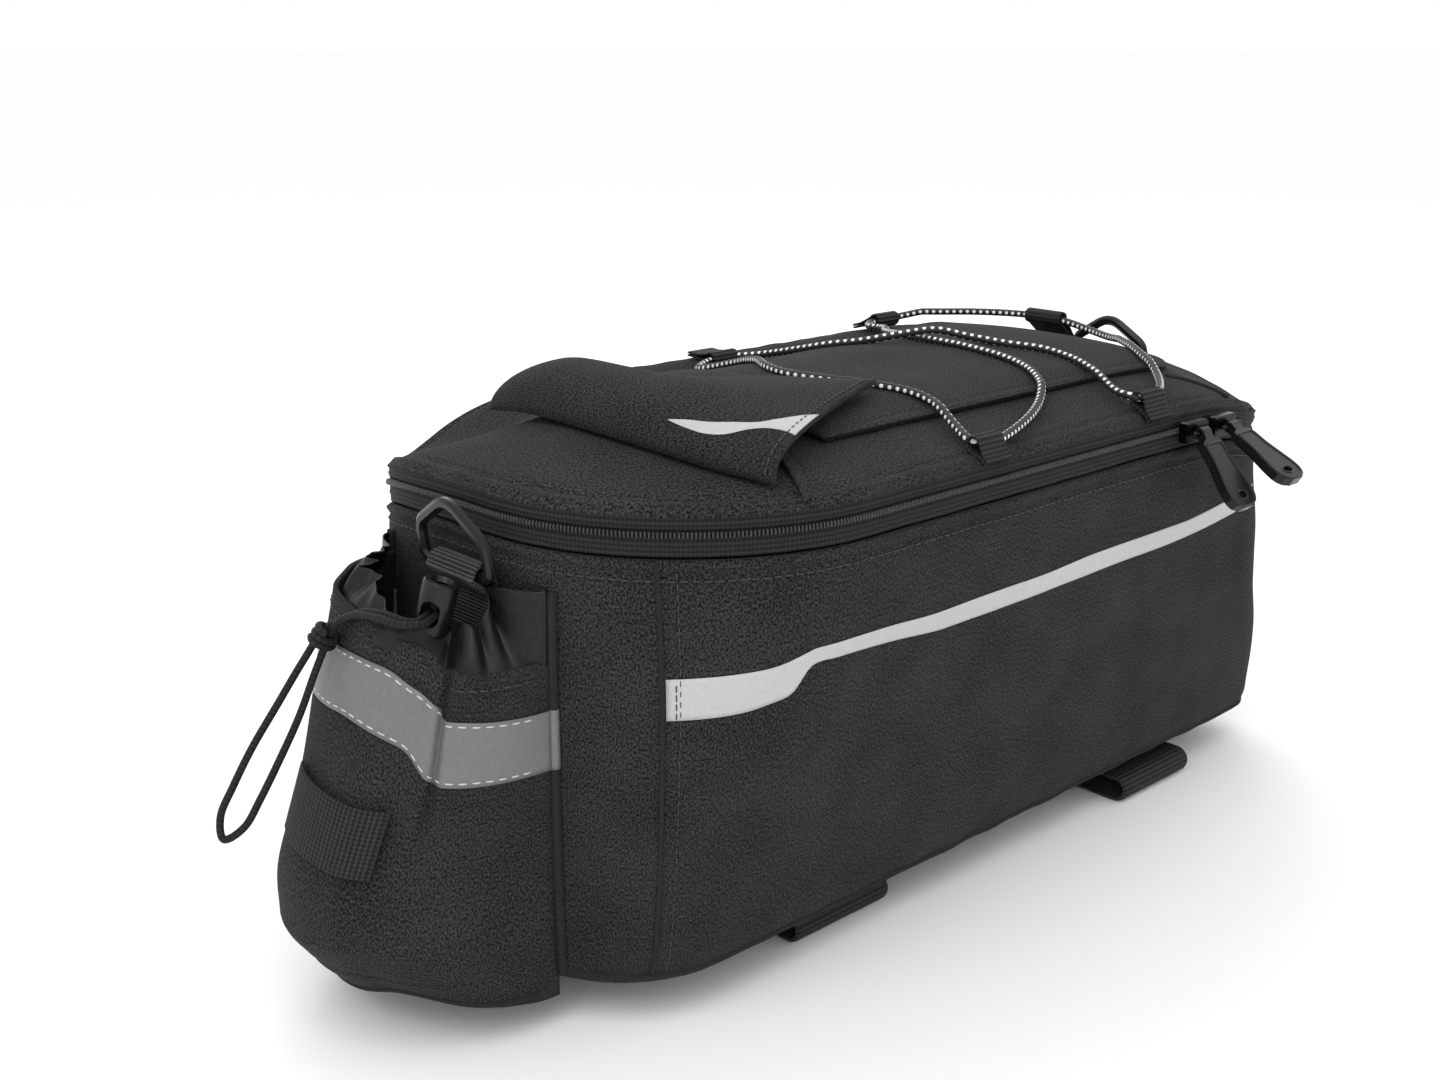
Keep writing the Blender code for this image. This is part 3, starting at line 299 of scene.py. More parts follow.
    def tracer_nodes(self, tree: Tree, shader: Shader) -> None:
        """Black braid with rows of white tracer stitches. U runs round the cord, V along it in metres.

        Args:
            tree: The material's node tree.
            shader: Its Principled node.
        """
        vector = self.coordinates(tree, "UV")
        split = tree.nodes.new("ShaderNodeSeparateXYZ")
        tree.links.new(vector, split.inputs["Vector"])
        cells = self.math(tree, "MULTIPLY", split.outputs["Y"], 300.0)
        around = self.math(tree, "MULTIPLY", split.outputs["X"], 3.0)
        dx = self.math(tree, "SUBTRACT", self.math(tree, "FRACT", around, 0.0), 0.5)
        dy = self.math(tree, "SUBTRACT", self.math(tree, "FRACT", cells, 0.0), 0.5)
        far = self.math(tree, "ADD", self.math(tree, "MULTIPLY", dx, dx), self.math(tree, "MULTIPLY", dy, dy))
        white = self.math(tree, "LESS_THAN", far, 0.056)
        tree.links.new(self.blend(tree, white, 0.0, 1.0), shader.inputs["Base Color"])
        ribs = self.wave(tree, vector, 300.0, "Y")
        self.bump(tree, shader, ribs, 0.0002)

    def grain_nodes(self, tree: Tree, shader: Shader) -> None:
        """Plain surface with a fine grain.

        Args:
            tree: The material's node tree.
            shader: Its Principled node.
        """
        vector = self.coordinates(tree, "Object")
        fine = self.noise(tree, vector, 700.0, 2.0)
        tree.links.new(self.blend(tree, fine, 0.2, 0.8), shader.inputs["Base Color"])
        self.bump(tree, shader, fine, 0.0002)
        if self.weave is Weave.MOULDED:
            shader.inputs["Specular IOR Level"].default_value = 0.32


CANVAS = Finish("canvas", "fabric", Weave.CANVAS, (0.0065, 0.0065, 0.0069), (0.0440, 0.0440, 0.0455), 0.90,
                relief=0.6)
NYLON = Finish("nylon", "nylon", Weave.NYLON, (0.003, 0.003, 0.0033), (0.010, 0.010, 0.011), 0.42)
# WEBBING, TAPE, RIBBED and BRAID go through rib_nodes: their dark colour lies in the rib grooves as painted shade
# and their light colour on the crests as painted light.
WEBBING = Finish("webbing", "webbing", Weave.WEBBING, (0.003, 0.003, 0.0033), (0.034, 0.034, 0.035), 0.70,
                 relief=0.8)
TAPE = Finish("tape", "webbing", Weave.WEBBING, (0.005, 0.005, 0.0053), (0.024, 0.024, 0.025), 0.75,
              relief=0.4)
TRACER = Finish("tracer_cord", "cord", Weave.TRACER, (0.008, 0.008, 0.009), (0.84, 0.84, 0.83), 0.60)
RIBBED = Finish("ribbed_webbing", "webbing", Weave.WEBBING, (0.002, 0.002, 0.0022), (0.075, 0.075, 0.077),
                0.60, relief=0.3, pitch=0.0013)
BRAID = Finish("braid", "cord", Weave.BRAID, (0.005, 0.005, 0.006), (0.020, 0.020, 0.022), 0.60)
PRINT = Finish("print", "fabric", Weave.REFLECTIVE, (0.42, 0.42, 0.43), (0.48, 0.48, 0.49), 0.48, relief=0.1)
BAND = Finish("band", "fabric", Weave.REFLECTIVE, (0.125, 0.125, 0.128), (0.155, 0.155, 0.158), 0.42,
              relief=0.2)
PLASTIC = Finish("plastic", "plastic", Weave.MOULDED, (0.006, 0.006, 0.0065), (0.010, 0.010, 0.011), 0.28,
                 relief=0.1)
METAL = Finish("metal", "metal", Weave.MOULDED, (0.010, 0.010, 0.011), (0.016, 0.016, 0.017), 0.20,
               metallic=0.9, relief=0.1)
TEETH = Finish("teeth", "plastic", Weave.MOULDED, (0.020, 0.020, 0.021), (0.045, 0.045, 0.047), 0.25,
               relief=0.1)
THREAD = Finish("thread", "fabric", Weave.THREAD, (0.024, 0.024, 0.025), (0.052, 0.052, 0.054), 0.60)
PALE_THREAD = Finish("pale_thread", "fabric", Weave.THREAD, (0.45, 0.45, 0.45), (0.62, 0.62, 0.62), 0.55)


@dataclass(frozen=True)
class Stitch:
    """One kind of stitch: its length, the gap to the next one and the thread's radius."""

    length: float
    gap: float
    radius: float


TOPSTITCH = Stitch(0.0026, 0.0011, 0.00022)
SIDE_STITCH = Stitch(0.0024, 0.0011, 0.00020)
STRIPE_STITCH = Stitch(0.0022, 0.0009, 0.00022)
BAND_STITCH = Stitch(0.0030, 0.0013, 0.00027)


# Tables and noise


def mix(low: float, high: float, share: float) -> float:
    """Straight blend of two numbers."""
    return low + (high - low) * share


def clamp(value: float, low: float = 0.0, high: float = 1.0) -> float:
    """Keeps a number inside a range."""
    return min(max(value, low), high)


def smooth(value: float) -> float:
    """Eases a share from 0 to 1."""
    value = clamp(value)
    return value * value * (3 - 2 * value)


def between(table: Sequence[Sequence[float]], place: float, column: int = 1) -> float:
    """The table's column at a place along its first column, on a smooth curve through its rows.

    Args:
        table: Rows with rising first values.
        place: Where to read it.
        column: Which column to read.

    Returns:
        The value there.
    """
    if place <= table[0][0]:
        return table[0][column]
    for i in range(len(table) - 1):
        if place <= table[i + 1][0]:
            before, after = table[i], table[i + 1]
            span = after[0] - before[0]
            share = (place - before[0]) / span
            back, front = table[max(i - 1, 0)], table[min(i + 2, len(table) - 1)]
            rise = (after[column] - back[column]) / max(after[0] - back[0], 1e-9) * span
            fall = (front[column] - before[column]) / max(front[0] - before[0], 1e-9) * span
            change = after[column] - before[column]
            if change == 0 or rise * change < 0:
                rise = 0.0
            if change == 0 or fall * change < 0:
                fall = 0.0
            t2, t3 = share * share, share ** 3
            value = (2 * t3 - 3 * t2 + 1) * before[column] + (t3 - 2 * t2 + share) * rise
            return value + (3 * t2 - 2 * t3) * after[column] + (t3 - t2) * fall
    return table[-1][column]


def ripple(x: float, y: float, z: float, size: float) -> float:
    """Smooth noise from -1 to 1, with waves of a size in metres."""
    return noise.noise(Vector((x, y, z)) / size)


def bump_at(value: float, centre: float, width: float) -> float:
    """A bell of height 1 round a centre."""
    off = (value - centre) / width
    return math.exp(-off * off)


# The bag's form


@dataclass(frozen=True)
class Form:
    """The bag's named sizes and the rules of its surfaces, in the modelling frame."""

    length: float = 0.357
    rim_width: float = 0.209
    base_width: float = 0.153
    zip_height: float = 0.1575
    near_rim_radius: float = 0.0885
    near_base_radius: float = 0.049
    far_rim_radius: float = 0.047
    far_base_radius: float = 0.022
    far_lean: float = 0.0415
    belly: float = 0.0035
    base_sag: float = 0.005
    wall: float = 0.003
    tape_below: float = 0.0072
    tape_above: float = 0.0056
    lid_crown: float = 0.014
    lid_sag: float = 0.011
    # height share, spread share, belly share, lean share
    levels: tuple = (
        (0.00, 0.00, 0.0, 1.00),
        (0.07, 0.10, 0.6, 0.97),
        (0.30, 0.34, 1.0, 0.77),
        (0.50, 0.54, 1.0, 0.47),
        (0.70, 0.73, 0.9, 0.29),
        (0.85, 0.88, 0.5, 0.14),
        (1.00, 1.00, 0.0, 0.00),
    )
    # inset share of half the rim's width, rise share of the crown
    lid_levels: tuple = (
        (0.00, 0.00), (0.03, 0.18), (0.10, 0.36), (0.16, 0.46), (0.22, 0.55), (0.31, 0.67), (0.40, 0.78),
        (0.51, 0.86), (0.62, 0.93), (0.73, 0.97), (0.85, 1.00), (1.01, 1.00),
    )
    # length share, share of the lid's sag
    sag_levels: tuple = (
        (0.00, 0.00), (0.15, 0.50), (0.40, 1.00), (0.60, 0.80), (0.75, 0.60), (0.95, 0.15), (1.00, 0.00),
    )
    # x share of the length, y share of half the width, reach, drop
    droops: tuple = ((0.106, 0.804, 0.044, 0.014), (0.975, -0.842, 0.038, 0.012))
    gap: float = 0.0004
    panel_start: float = 0.100
    panel_end: float = 0.318
    panel_half: float = 0.072
    panel_corner: float = 0.020
    panel_thickness: float = 0.0016
    cord_radius: float = 0.0016
    pocket_half: float = 0.0455
    pocket_depth: float = 0.0690
    pocket_hem: float = 0.1140
    # height share of the hem, depth share, crease share
    pocket_levels: tuple = (
        (-0.055, 0.45, 0.0), (-0.04, 0.66, 0.0), (0.02, 0.79, 0.0), (0.10, 0.89, 0.0), (0.20, 0.99, 0.0),
        (0.34, 0.98, 0.1), (0.52, 0.86, 0.5), (0.68, 0.76, 0.9), (0.88, 0.67, 1.0), (1.00, 0.60, 1.0),
    )
    # place round the front, width, depth share
    creases: tuple = ((0.27, 0.075, 0.095), (0.80, 0.070, 0.050))

    @property
    def body_top(self) -> float:
        """Height of the body's top edge."""
        return self.zip_height - self.tape_below - 0.0007

    @property
    def lid_base(self) -> float:
        """Height of the lid's lowest edge."""
        return self.zip_height + self.tape_above + 0.0004

    def ring(self, x0: float, x1: float, half: float, near: float, far: float, steps: int) -> list[tuple]:
        """One level seen from above, from the near end's middle round by the near side.

        Args:
            x0: The near end.
            x1: The far end.
            half: Half the width.
            near: Radius of the near corners.
            far: Radius of the far corners.
            steps: Points on each corner.

        Returns:
            Points (x, y, normal x, normal y), evenly named so that rings of any size match.
        """
        points = []

        def corner(cx: float, cy: float, radius: float, start: float) -> None:
            """Adds a quarter round from an angle in degrees on."""
            for i in range(steps):
                angle = math.radians(start + 90 * i / steps)
                nx, ny = math.cos(angle), math.sin(angle)
                points.append((cx + radius * nx, cy + radius * ny, nx, ny))

        def straight(a: tuple, b: tuple, normal: tuple, count: int) -> None:
            """Adds evenly spaced points from one place towards another."""
            for i in range(count):
                share = i / count
                points.append((mix(a[0], b[0], share), mix(a[1], b[1], share), *normal))

        side, end = 3 * steps, steps
        straight((x0, 0.0), (x0, near - half), (-1, 0), end // 2)
        corner(x0 + near, near - half, near, 180)
        straight((x0 + near, -half), (x1 - far, -half), (0, -1), side)
        corner(x1 - far, far - half, far, 270)
        straight((x1, far - half), (x1, half - far), (1, 0), end)
        corner(x1 - far, half - far, far, 0)
        straight((x1 - far, half), (x0 + near, half), (0, 1), side)
        corner(x0 + near, half - near, near, 90)
        straight((x0, half - near), (x0, 0.0), (-1, 0), end // 2)
        return points

    def half_level(self, share: float) -> float:
        """Half the body's width between its corners, at a share of its height."""
        plain = mix(self.base_width, self.rim_width, between(self.levels, share, 1)) / 2
        return plain + self.belly * between(self.levels, share, 2)

    def body_ring(self, share: float, steps: int, inset: float = 0.0) -> list[tuple]:
        """The body's outline at a share of its height.

        Args:
            share: Share of the body's height.
            steps: Points on each corner.
            inset: Distance inwards.

        Returns:
            Points (x, y, normal x, normal y).
        """
        spread = between(self.levels, share, 1)
        half = self.half_level(share) - inset
        near = mix(self.near_base_radius, self.near_rim_radius, spread) - inset
        far = mix(self.far_base_radius, self.far_rim_radius, spread) - inset
        end = self.length + self.far_lean * between(self.levels, share, 3) - inset
        return self.ring(inset, end, half, near, max(far, 0.003), steps)

    def rim_ring(self, inset: float, steps: int) -> list[tuple]:
        """The rim's outline, moved inwards.

        Args:
            inset: Distance inwards.
            steps: Points on each corner.

        Returns:
            Points (x, y, normal x, normal y).
        """
        near = max(self.near_rim_radius - inset, 0.002)
        far = max(self.far_rim_radius - inset, 0.002)
        return self.ring(inset, self.length - inset, self.rim_width / 2 - inset, near, far, steps)

    def near_wall(self, y: float, z: float) -> float:
        """The near end's outer face at a place across it.

        Args:
            y: Place across it.
            z: Height.

        Returns:
            Its x.
        """
        share = clamp(z / self.body_top)
        radius = mix(self.near_base_radius, self.near_rim_radius, between(self.levels, share, 1))
        beyond = max(abs(y) - (self.half_level(share) - radius), 0.0)
        return radius - math.sqrt(max(radius * radius - beyond * beyond, 0.0))

    def rim_inset(self, x: float, y: float) -> float:
        """How far a point lies inside the rim's outline.

        Args:
            x: Place along the bag.
            y: Place across it.

        Returns:
            The distance.
        """
        half, across = self.rim_width / 2, abs(y)
        if x < self.near_rim_radius and across > half - self.near_rim_radius:
            radius = self.near_rim_radius
            return radius - math.hypot(radius - x, across - half + radius)
        if x > self.length - self.far_rim_radius and across > half - self.far_rim_radius:
            radius = self.far_rim_radius
            return radius - math.hypot(x - self.length + radius, across - half + radius)
        return min(x, self.length - x, half - across)

    def sag(self, x: float, y: float) -> float:
        """How far the soft lid has sunk in its far half.

        Args:
            x: Place along the bag.
            y: Place across it.

        Returns:
            The distance.
        """
        across = clamp(max(y, 0.0) / (self.rim_width / 2))
        inside = clamp((self.rim_inset(x, y) - 0.0035) / 0.026)
        deep = self.lid_sag * between(self.sag_levels, x / self.length)
        return deep * math.sin(math.pi * across * across) * inside

    def droop(self, x: float, y: float) -> float:
        """How far the rim and the lid droop at two soft corners.

        Args:
            x: Place along the bag.
            y: Place across it.

        Returns:
            The distance.
        """
        total = 0.0
        for along, across, reach, drop in self.droops:
            away = (x - along * self.length) ** 2 + (y - across * self.rim_width / 2) ** 2
            total += drop * math.exp(-away / reach ** 2)
        return total

    def lid(self, x: float, y: float) -> float:
        """Height of the lid's outer face.

        Args:
            x: Place along the bag.
            y: Place across it.

        Returns:
            The height.
        """
        share = max(self.rim_inset(x, y), 0.0) / (self.rim_width / 2)
        crown = self.lid_base + self.lid_crown * between(self.lid_levels, share)
        return crown - self.sag(x, y) - self.droop(x, y)

    def panel_width(self, x: float) -> float:
        """Half the top panel's width, with rounded far corners."""
        past = clamp((x - self.panel_end + self.panel_corner) / self.panel_corner)
        return self.panel_half - self.panel_corner * (1 - math.sqrt(1 - past * past))

    def deck(self, x: float, y: float) -> float:
        """Top of what a cord lies on: the lid, or the panel and its edge zone."""
        outside = max(abs(y) - self.panel_half, self.panel_start - x, x - self.panel_end, 0.0)
        return self.lid(x, y) + (2 * self.gap + self.panel_thickness) * clamp((0.0100 - outside) / 0.0065)

    def half_at(self, x: float, share: float) -> float:
        """Half the body's width at a place along it and a share of its height.

        Args:
            x: Place along the bag.
            share: Share of the body's height.

        Returns:
            The half width.
        """
        spread = between(self.levels, share, 1)
        half = self.half_level(share)
        near = mix(self.near_base_radius, self.near_rim_radius, spread)
        far = mix(self.far_base_radius, self.far_rim_radius, spread)
        end = self.length + self.far_lean * between(self.levels, share, 3)
        if x < near:
            return half - near + math.sqrt(max(near * near - (near - x) ** 2, 0.0))
        if x > end - far:
            return half - far + math.sqrt(max(far * far - (x - end + far) ** 2, 0.0))
        return half

    def fade(self, share: float) -> float:
        """How much of the rim's droop a share of the body's height takes part in."""
        return max(2 * share - 1, 0.0) ** 1.5

    def crease(self, place: float) -> float:
        """Depth share of the pocket's creases at a place round its front."""
        return sum(depth * bump_at(place, centre, width) for centre, width, depth in self.creases)

    def pocket(self, place: float, z: float, inside: float = 0.0) -> Vector:
        """A point of the bottle pocket's skin.

        Args:
            place: Place round the front, 0 at the near side and 1 at the far side.
            z: Height.
            inside: Distance inside the outer face.

        Returns:
            The point.
        """
        level = z / self.pocket_hem
        depth = between(self.pocket_levels, level, 1)
        depth -= between(self.pocket_levels, level, 2) * self.crease(place)
        angle = math.pi * place
        y = -math.cos(angle) * (self.pocket_half - inside)
        reach = (self.pocket_depth * depth - inside) * max(math.sin(angle), 0.0) ** 0.75
        return Vector((self.near_wall(max(abs(y) - 0.002, 0.0), z) - 0.0006 - reach, y, z))


FORM = Form()


# Mesh building


def link(name: str, data: bpy.types.ID) -> bpy.types.Object:
    """An object in the scene for a mesh, a lamp or a camera."""
    made = bpy.data.objects.new(name, data)
    bpy.context.scene.collection.objects.link(made)
    return made


def mesh_from(name: str, bm: bmesh.types.BMesh) -> bpy.types.Mesh:
    """Turns a bmesh into a mesh."""
    mesh = bpy.data.meshes.new(name)
    bm.to_mesh(mesh)
    bm.free()
    return mesh


class Builder:
    """Makes mesh objects, puts them on the shared frame and gives them their finish."""

    def __init__(self, shift: Vector) -> None:
        """Keeps the move to the shared frame and starts with no materials."""
        self.shift = shift
        self.materials: dict[str, bpy.types.Material] = {}

    def material(self, finish: Finish) -> bpy.types.Material:
        """The finish's material, made once."""
        if finish.name not in self.materials:
            self.materials[finish.name] = finish.make()
        return self.materials[finish.name]

    def dress(self, node: str, finish: Finish) -> None:
        """Gives a node of the solid model a better finish.

        Args:
            node: The node's name.
            finish: Its new finish.
        """
        obj = bpy.data.objects[node]
        for slot in obj.material_slots:
            slot.material = self.material(finish)

    def place(self, name: str, bm: bmesh.types.BMesh, finish: Finish, body: str = BODY,
              replaces: Sequence[str] = (), smooth_faces: bool = True,
              smooth_angle: float | None = None) -> bpy.types.Object:
        """Turns a bmesh into a piece of the bag.

        Args:
            name: The piece's name.
            bm: Its shape in the modelling frame.
            finish: Its finish.
            body: The body that it moves with.
            replaces: Nodes of the solid model that it stands for.
            smooth_faces: Whether its faces are shaded smooth.
            smooth_angle: Angle in degrees past which an edge stays sharp, or None for none.

        Returns:
            The object.
        """
        if smooth_angle is not None:
            bm.normal_update()
            for edge in bm.edges:
                edge.smooth = len(edge.link_faces) != 2 or edge.calc_face_angle() < math.radians(smooth_angle)
        for face in bm.faces:
            face.smooth = smooth_faces
        mesh = mesh_from(name, bm)
        mesh.transform(Matrix.Translation(self.shift))
        obj = link(name, mesh)
        mesh.materials.append(self.material(finish))
        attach(obj, body)
        if replaces:
            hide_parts(*replaces)
        LOG.info("%s: %d faces", name, len(mesh.polygons))
        return obj

    def sew(self, name: str, places: Sequence[tuple[Vector, Vector]], stitch: Stitch,
            finish: Finish = THREAD) -> None:
        """Makes a row of stitches through places, each a point on the cloth and its normal."""
        self.place(name, stitches([p for p, _ in places], [n for _, n in places], stitch), finish)


def grid(rows: Sequence[Row], closed: bool = False, cap: bool = False,
         bm: bmesh.types.BMesh | None = None) -> bmesh.types.BMesh:
    """A skin through rows of points, with a UV map in metres.

    Args:
        rows: Rows of the same number of points.
        closed: Whether each row closes on itself.
        cap: Whether the first and last rows are filled.
        bm: Mesh to add to, or None for a new one.

    Returns:
        The mesh.
    """
    bm = bm or bmesh.new()
    uv = bm.loops.layers.uv.verify()
    verts = [[bm.verts.new(point) for point in row] for row in rows]
    count = len(rows[0])
    middle = rows[len(rows) // 2]
    along = [0.0]
    for j in range(1, count + 1):
        along.append(along[-1] + (middle[j % count] - middle[j - 1]).length)
    up = [0.0]
    probe = count // 3
    for before, after in zip(rows, rows[1:]):
        up.append(up[-1] + (after[probe] - before[probe]).length)
    for i in range(len(rows) - 1):
        for j in range(count if closed else count - 1):
            k = (j + 1) % count
            corners = [(verts[i][j], along[j], up[i]), (verts[i][k], along[j + 1], up[i]),
                       (verts[i + 1][k], along[j + 1], up[i + 1]), (verts[i + 1][j], along[j], up[i + 1])]
            face = bm.faces.new([corner[0] for corner in corners])
            for loop, corner in zip(face.loops, corners):
                loop[uv].uv = (corner[1], corner[2])
    if cap:
        first, last = verts[0], verts[-1]
        bm.faces.new(first[::-1])
        bm.faces.new(last)
    return bm


def thicken(bm: bmesh.types.BMesh, thickness: float) -> bmesh.types.BMesh:
    """Gives a skin thickness on the side away from its normals.

    Args:
        bm: The skin.
        thickness: Its thickness.

    Returns:
        The same mesh.
    """
    bm.normal_update()
    bmesh.ops.solidify(bm, geom=bm.faces[:], thickness=thickness)
    bmesh.ops.recalc_face_normals(bm, faces=bm.faces[:])
    return bm


def sweep(path: Sequence[Vector], radius: float, sides: int = 12, closed: bool = False,
          bm: bmesh.types.BMesh | None = None, squash: float = 1.0,
          up: Vector | None = None) -> bmesh.types.BMesh:
    """A round tube along a path. U runs round it from 0 to 1 and V along it in metres.

    Args:
        path: Points of the centre line.
        radius: Its radius.
        sides: Points round the tube.
        closed: Whether the path closes on itself.
        bm: Mesh to add to, or None for a new one.
        squash: Ratio of the tube's height to its width.
        up: Normal of a flat path, which the width is then measured along.

    Returns:
        The mesh.
    """
    bm = bm or bmesh.new()
    uv = bm.loops.layers.uv.verify()
    count = len(path)
    tangents = []
    for i in range(count):
        ahead = path[(i + 1) % count] if closed or i < count - 1 else path[i]
        behind = path[i - 1] if closed or i > 0 else path[i]
        tangents.append((ahead - behind).normalized())
    side = up.normalized() if up else tangents[0].orthogonal().normalized()
    frames = []
    for i, tangent in enumerate(tangents):
        if i and not up:
            side = tangents[i - 1].rotation_difference(tangent) @ side
        side = (side - tangent * side.dot(tangent)).normalized()
        frames.append((side.copy(), tangent.cross(side)))
    twist = 0.0
    if closed and not up:
        back = tangents[-1].rotation_difference(tangents[0]) @ frames[-1][0]
        twist = math.atan2(back.dot(frames[0][1]), back.dot(frames[0][0]))
    along = [0.0]
    for i in range(1, count + 1):
        along.append(along[-1] + (path[i % count] - path[i - 1]).length)
    rings = []
    for i, point in enumerate(path):
        ring = []
        for j in range(sides):
            angle = 2 * math.pi * (j + 0.5) / sides - twist * i / count
            out = frames[i][0] * math.cos(angle) + frames[i][1] * math.sin(angle) * squash
            ring.append(bm.verts.new(point + radius * out))
        rings.append(ring)
    for i in range(count if closed else count - 1):
        nxt = rings[(i + 1) % count]
        for j in range(sides):
            k = (j + 1) % sides
            face = bm.faces.new((rings[i][j], rings[i][k], nxt[k], nxt[j]))
            places = ((j, i), (j + 1, i), (j + 1, i + 1), (j, i + 1))
            for loop, (u, v) in zip(face.loops, places):
                loop[uv].uv = (u / sides, along[v])
    if not closed:
        bm.faces.new(rings[0][::-1])
        bm.faces.new(rings[-1])
    bmesh.ops.recalc_face_normals(bm, faces=bm.faces[:])
    return bm


def curve(points: Sequence[Vector], steps: int, closed: bool = False) -> list[Vector]:
    """Points on a smooth curve through the given ones.

    Args:
        points: Points that it passes through.
        steps: New points for each gap.
        closed: Whether it closes on itself.

    Returns:
        The points.
    """
    count = len(points)
    result = []
    for i in range(count if closed else count - 1):
        if closed:
            a, b, c, d = (points[(i + k) % count] for k in (-1, 0, 1, 2))
        else:
            a, b, c, d = (points[min(max(i + k, 0), count - 1)] for k in (-1, 0, 1, 2))
        for step in range(steps):
            t = step / steps
            bend = (c - a) * t + (2 * a - 5 * b + 4 * c - d) * t * t + (3 * b - a - 3 * c + d) * t ** 3
            result.append(b + bend * 0.5)
    if not closed:
        result.append(points[-1].copy())
    return result


def stitches(path: Sequence[Vector], normals: Sequence[Vector], stitch: Stitch) -> bmesh.types.BMesh:
    """A row of short thread stitches along a path.

    Args:
        path: Points close together on the cloth.
        normals: The cloth's normal at each point.
        stitch: Kind of stitch.

    Returns:
        The mesh.
    """
    bm = bmesh.new()
    along = [0.0]
    for before, after in zip(path, path[1:]):
        along.append(along[-1] + (after - before).length)
    where, index = 0.0, 0

    def at(distance: float) -> tuple[Vector, Vector]:
        """The point and the normal at a distance along the path."""
        nonlocal index
        while index < len(path) - 2 and along[index + 1] < distance:
            index += 1
        share = clamp((distance - along[index]) / max(along[index + 1] - along[index], 1e-9))
        return path[index].lerp(path[index + 1], share), normals[index].lerp(normals[index + 1], share)

    while where + stitch.length < along[-1]:
        line = []
        for k, lift in enumerate((-0.3, 0.75, 0.9, 0.75, -0.3)):
            point, normal = at(where + stitch.length * k / 4)
            line.append(point + normal * stitch.radius * lift)
        sweep(line, stitch.radius, 6, bm=bm)
        where += stitch.length + stitch.gap
    return bm


def rounded(points: Sequence[Vector], radius: float, steps: int = 5) -> list[Vector]:
    """A closed polygon with its corners eased.

    Args:
        points: The polygon's corners.
        radius: How far from each corner the easing starts.
        steps: Points on each eased corner.

    Returns:
        The points.
    """
    result = []
    for i, corner in enumerate(points):
        before, after = points[i - 1], points[(i + 1) % len(points)]
        start = corner + (before - corner).normalized() * min(radius, 0.45 * (before - corner).length)
        end = corner + (after - corner).normalized() * min(radius, 0.45 * (after - corner).length)
        for k in range(steps + 1):
            share = k / steps
            result.append(start.lerp(corner, share).lerp(corner.lerp(end, share), share))
    return result


def surface(columns: int, rows: int, rule: Callable[[float, float], Vector]) -> list[Row]:
    """Rows of points by a rule, from the share of the way along a row and over the rows."""
    return [[rule(i / columns, k / rows) for i in range(columns + 1)] for k in range(rows + 1)]


def ribbon(path: Sequence[Vector], across: Vector | Sequence[Vector], width: float, thickness: float,
           pitch: float = 0.0, depth: float = 0.0, closed: bool = False) -> bmesh.types.BMesh:
    """Webbing along a path, with soft edges. U runs across it and V along it, in metres.

    Args:
        path: Points of its middle line.
        across: Direction across it, one for all or one for each point.
        width: Its width.
        thickness: Its thickness.
        pitch: Distance between raised ribs, or 0 for none.
        depth: Height of the ribs.
        closed: Whether it closes on itself.

    Returns:
        The mesh.
    """
    bm = bmesh.new()
    uv = bm.loops.layers.uv.verify()
    half, soft = width / 2, min(0.6 * thickness, width / 6)
    steps = [-half + soft * 0.25, -half + soft] + [mix(-half + soft, half - soft, k / 8) for k in range(1, 8)]
    steps += [half - soft, half - soft * 0.25]
    section = [(-half, 0.0)] + [(a, 0.5 if 0 < i < len(steps) - 1 else 0.34) for i, a in enumerate(steps)]
    section += [(half, 0.0)] + [(a, -h) for a, h in reversed(section[1:])]
    count = len(path)
    along, rings = 0.0, []
    for i, point in enumerate(path):
        ahead = path[(i + 1) % count] if closed or i < count - 1 else point
        behind = path[i - 1] if closed or i > 0 else point
        if i:
            along += (point - path[i - 1]).length
        way = across if isinstance(across, Vector) else across[i]
        normal = (ahead - behind).normalized().cross(way).normalized()
        rib = -depth * math.cos(2 * math.pi * along / pitch) if pitch else 0.0
        ring = []
        for a, h in section:
            lift = h * thickness + (rib if h > 0.4 else -rib if h < -0.4 else 0.0)
            ring.append((bm.verts.new(point + way * a + normal * lift), a, along))
        rings.append(ring)
    size = len(section)
    for i in range(count if closed else count - 1):
        nxt = rings[(i + 1) % count]
        for j in range(size):
            k = (j + 1) % size
            corners = (rings[i][j], rings[i][k], nxt[k], nxt[j])
            face = bm.faces.new([c[0] for c in corners])
            for loop, (_, u, v) in zip(face.loops, corners):
                loop[uv].uv = (u, v)
    if not closed:
        bm.faces.new([c[0] for c in rings[0]][::-1])
        bm.faces.new([c[0] for c in rings[-1]])
    bmesh.ops.recalc_face_normals(bm, faces=bm.faces[:])
    return bm


def lathe(profile: Sequence[tuple[float, float]], sides: int, matrix: Matrix) -> bmesh.types.BMesh:
    """A turned solid round local Z.

    Args:
        profile: Radius and height of each ring, from one end to the other.
        sides: Points round it.
        matrix: Its place.

    Returns:
        The mesh.
    """
    rows = []
    for radius, z in profile:
        turns = [2 * math.pi * j / sides for j in range(sides)]
        rows.append([matrix @ Vector((radius * math.cos(a), radius * math.sin(a), z)) for a in turns])
    bm = grid(rows, closed=True, cap=True)
    bmesh.ops.recalc_face_normals(bm, faces=bm.faces[:])
    return bm


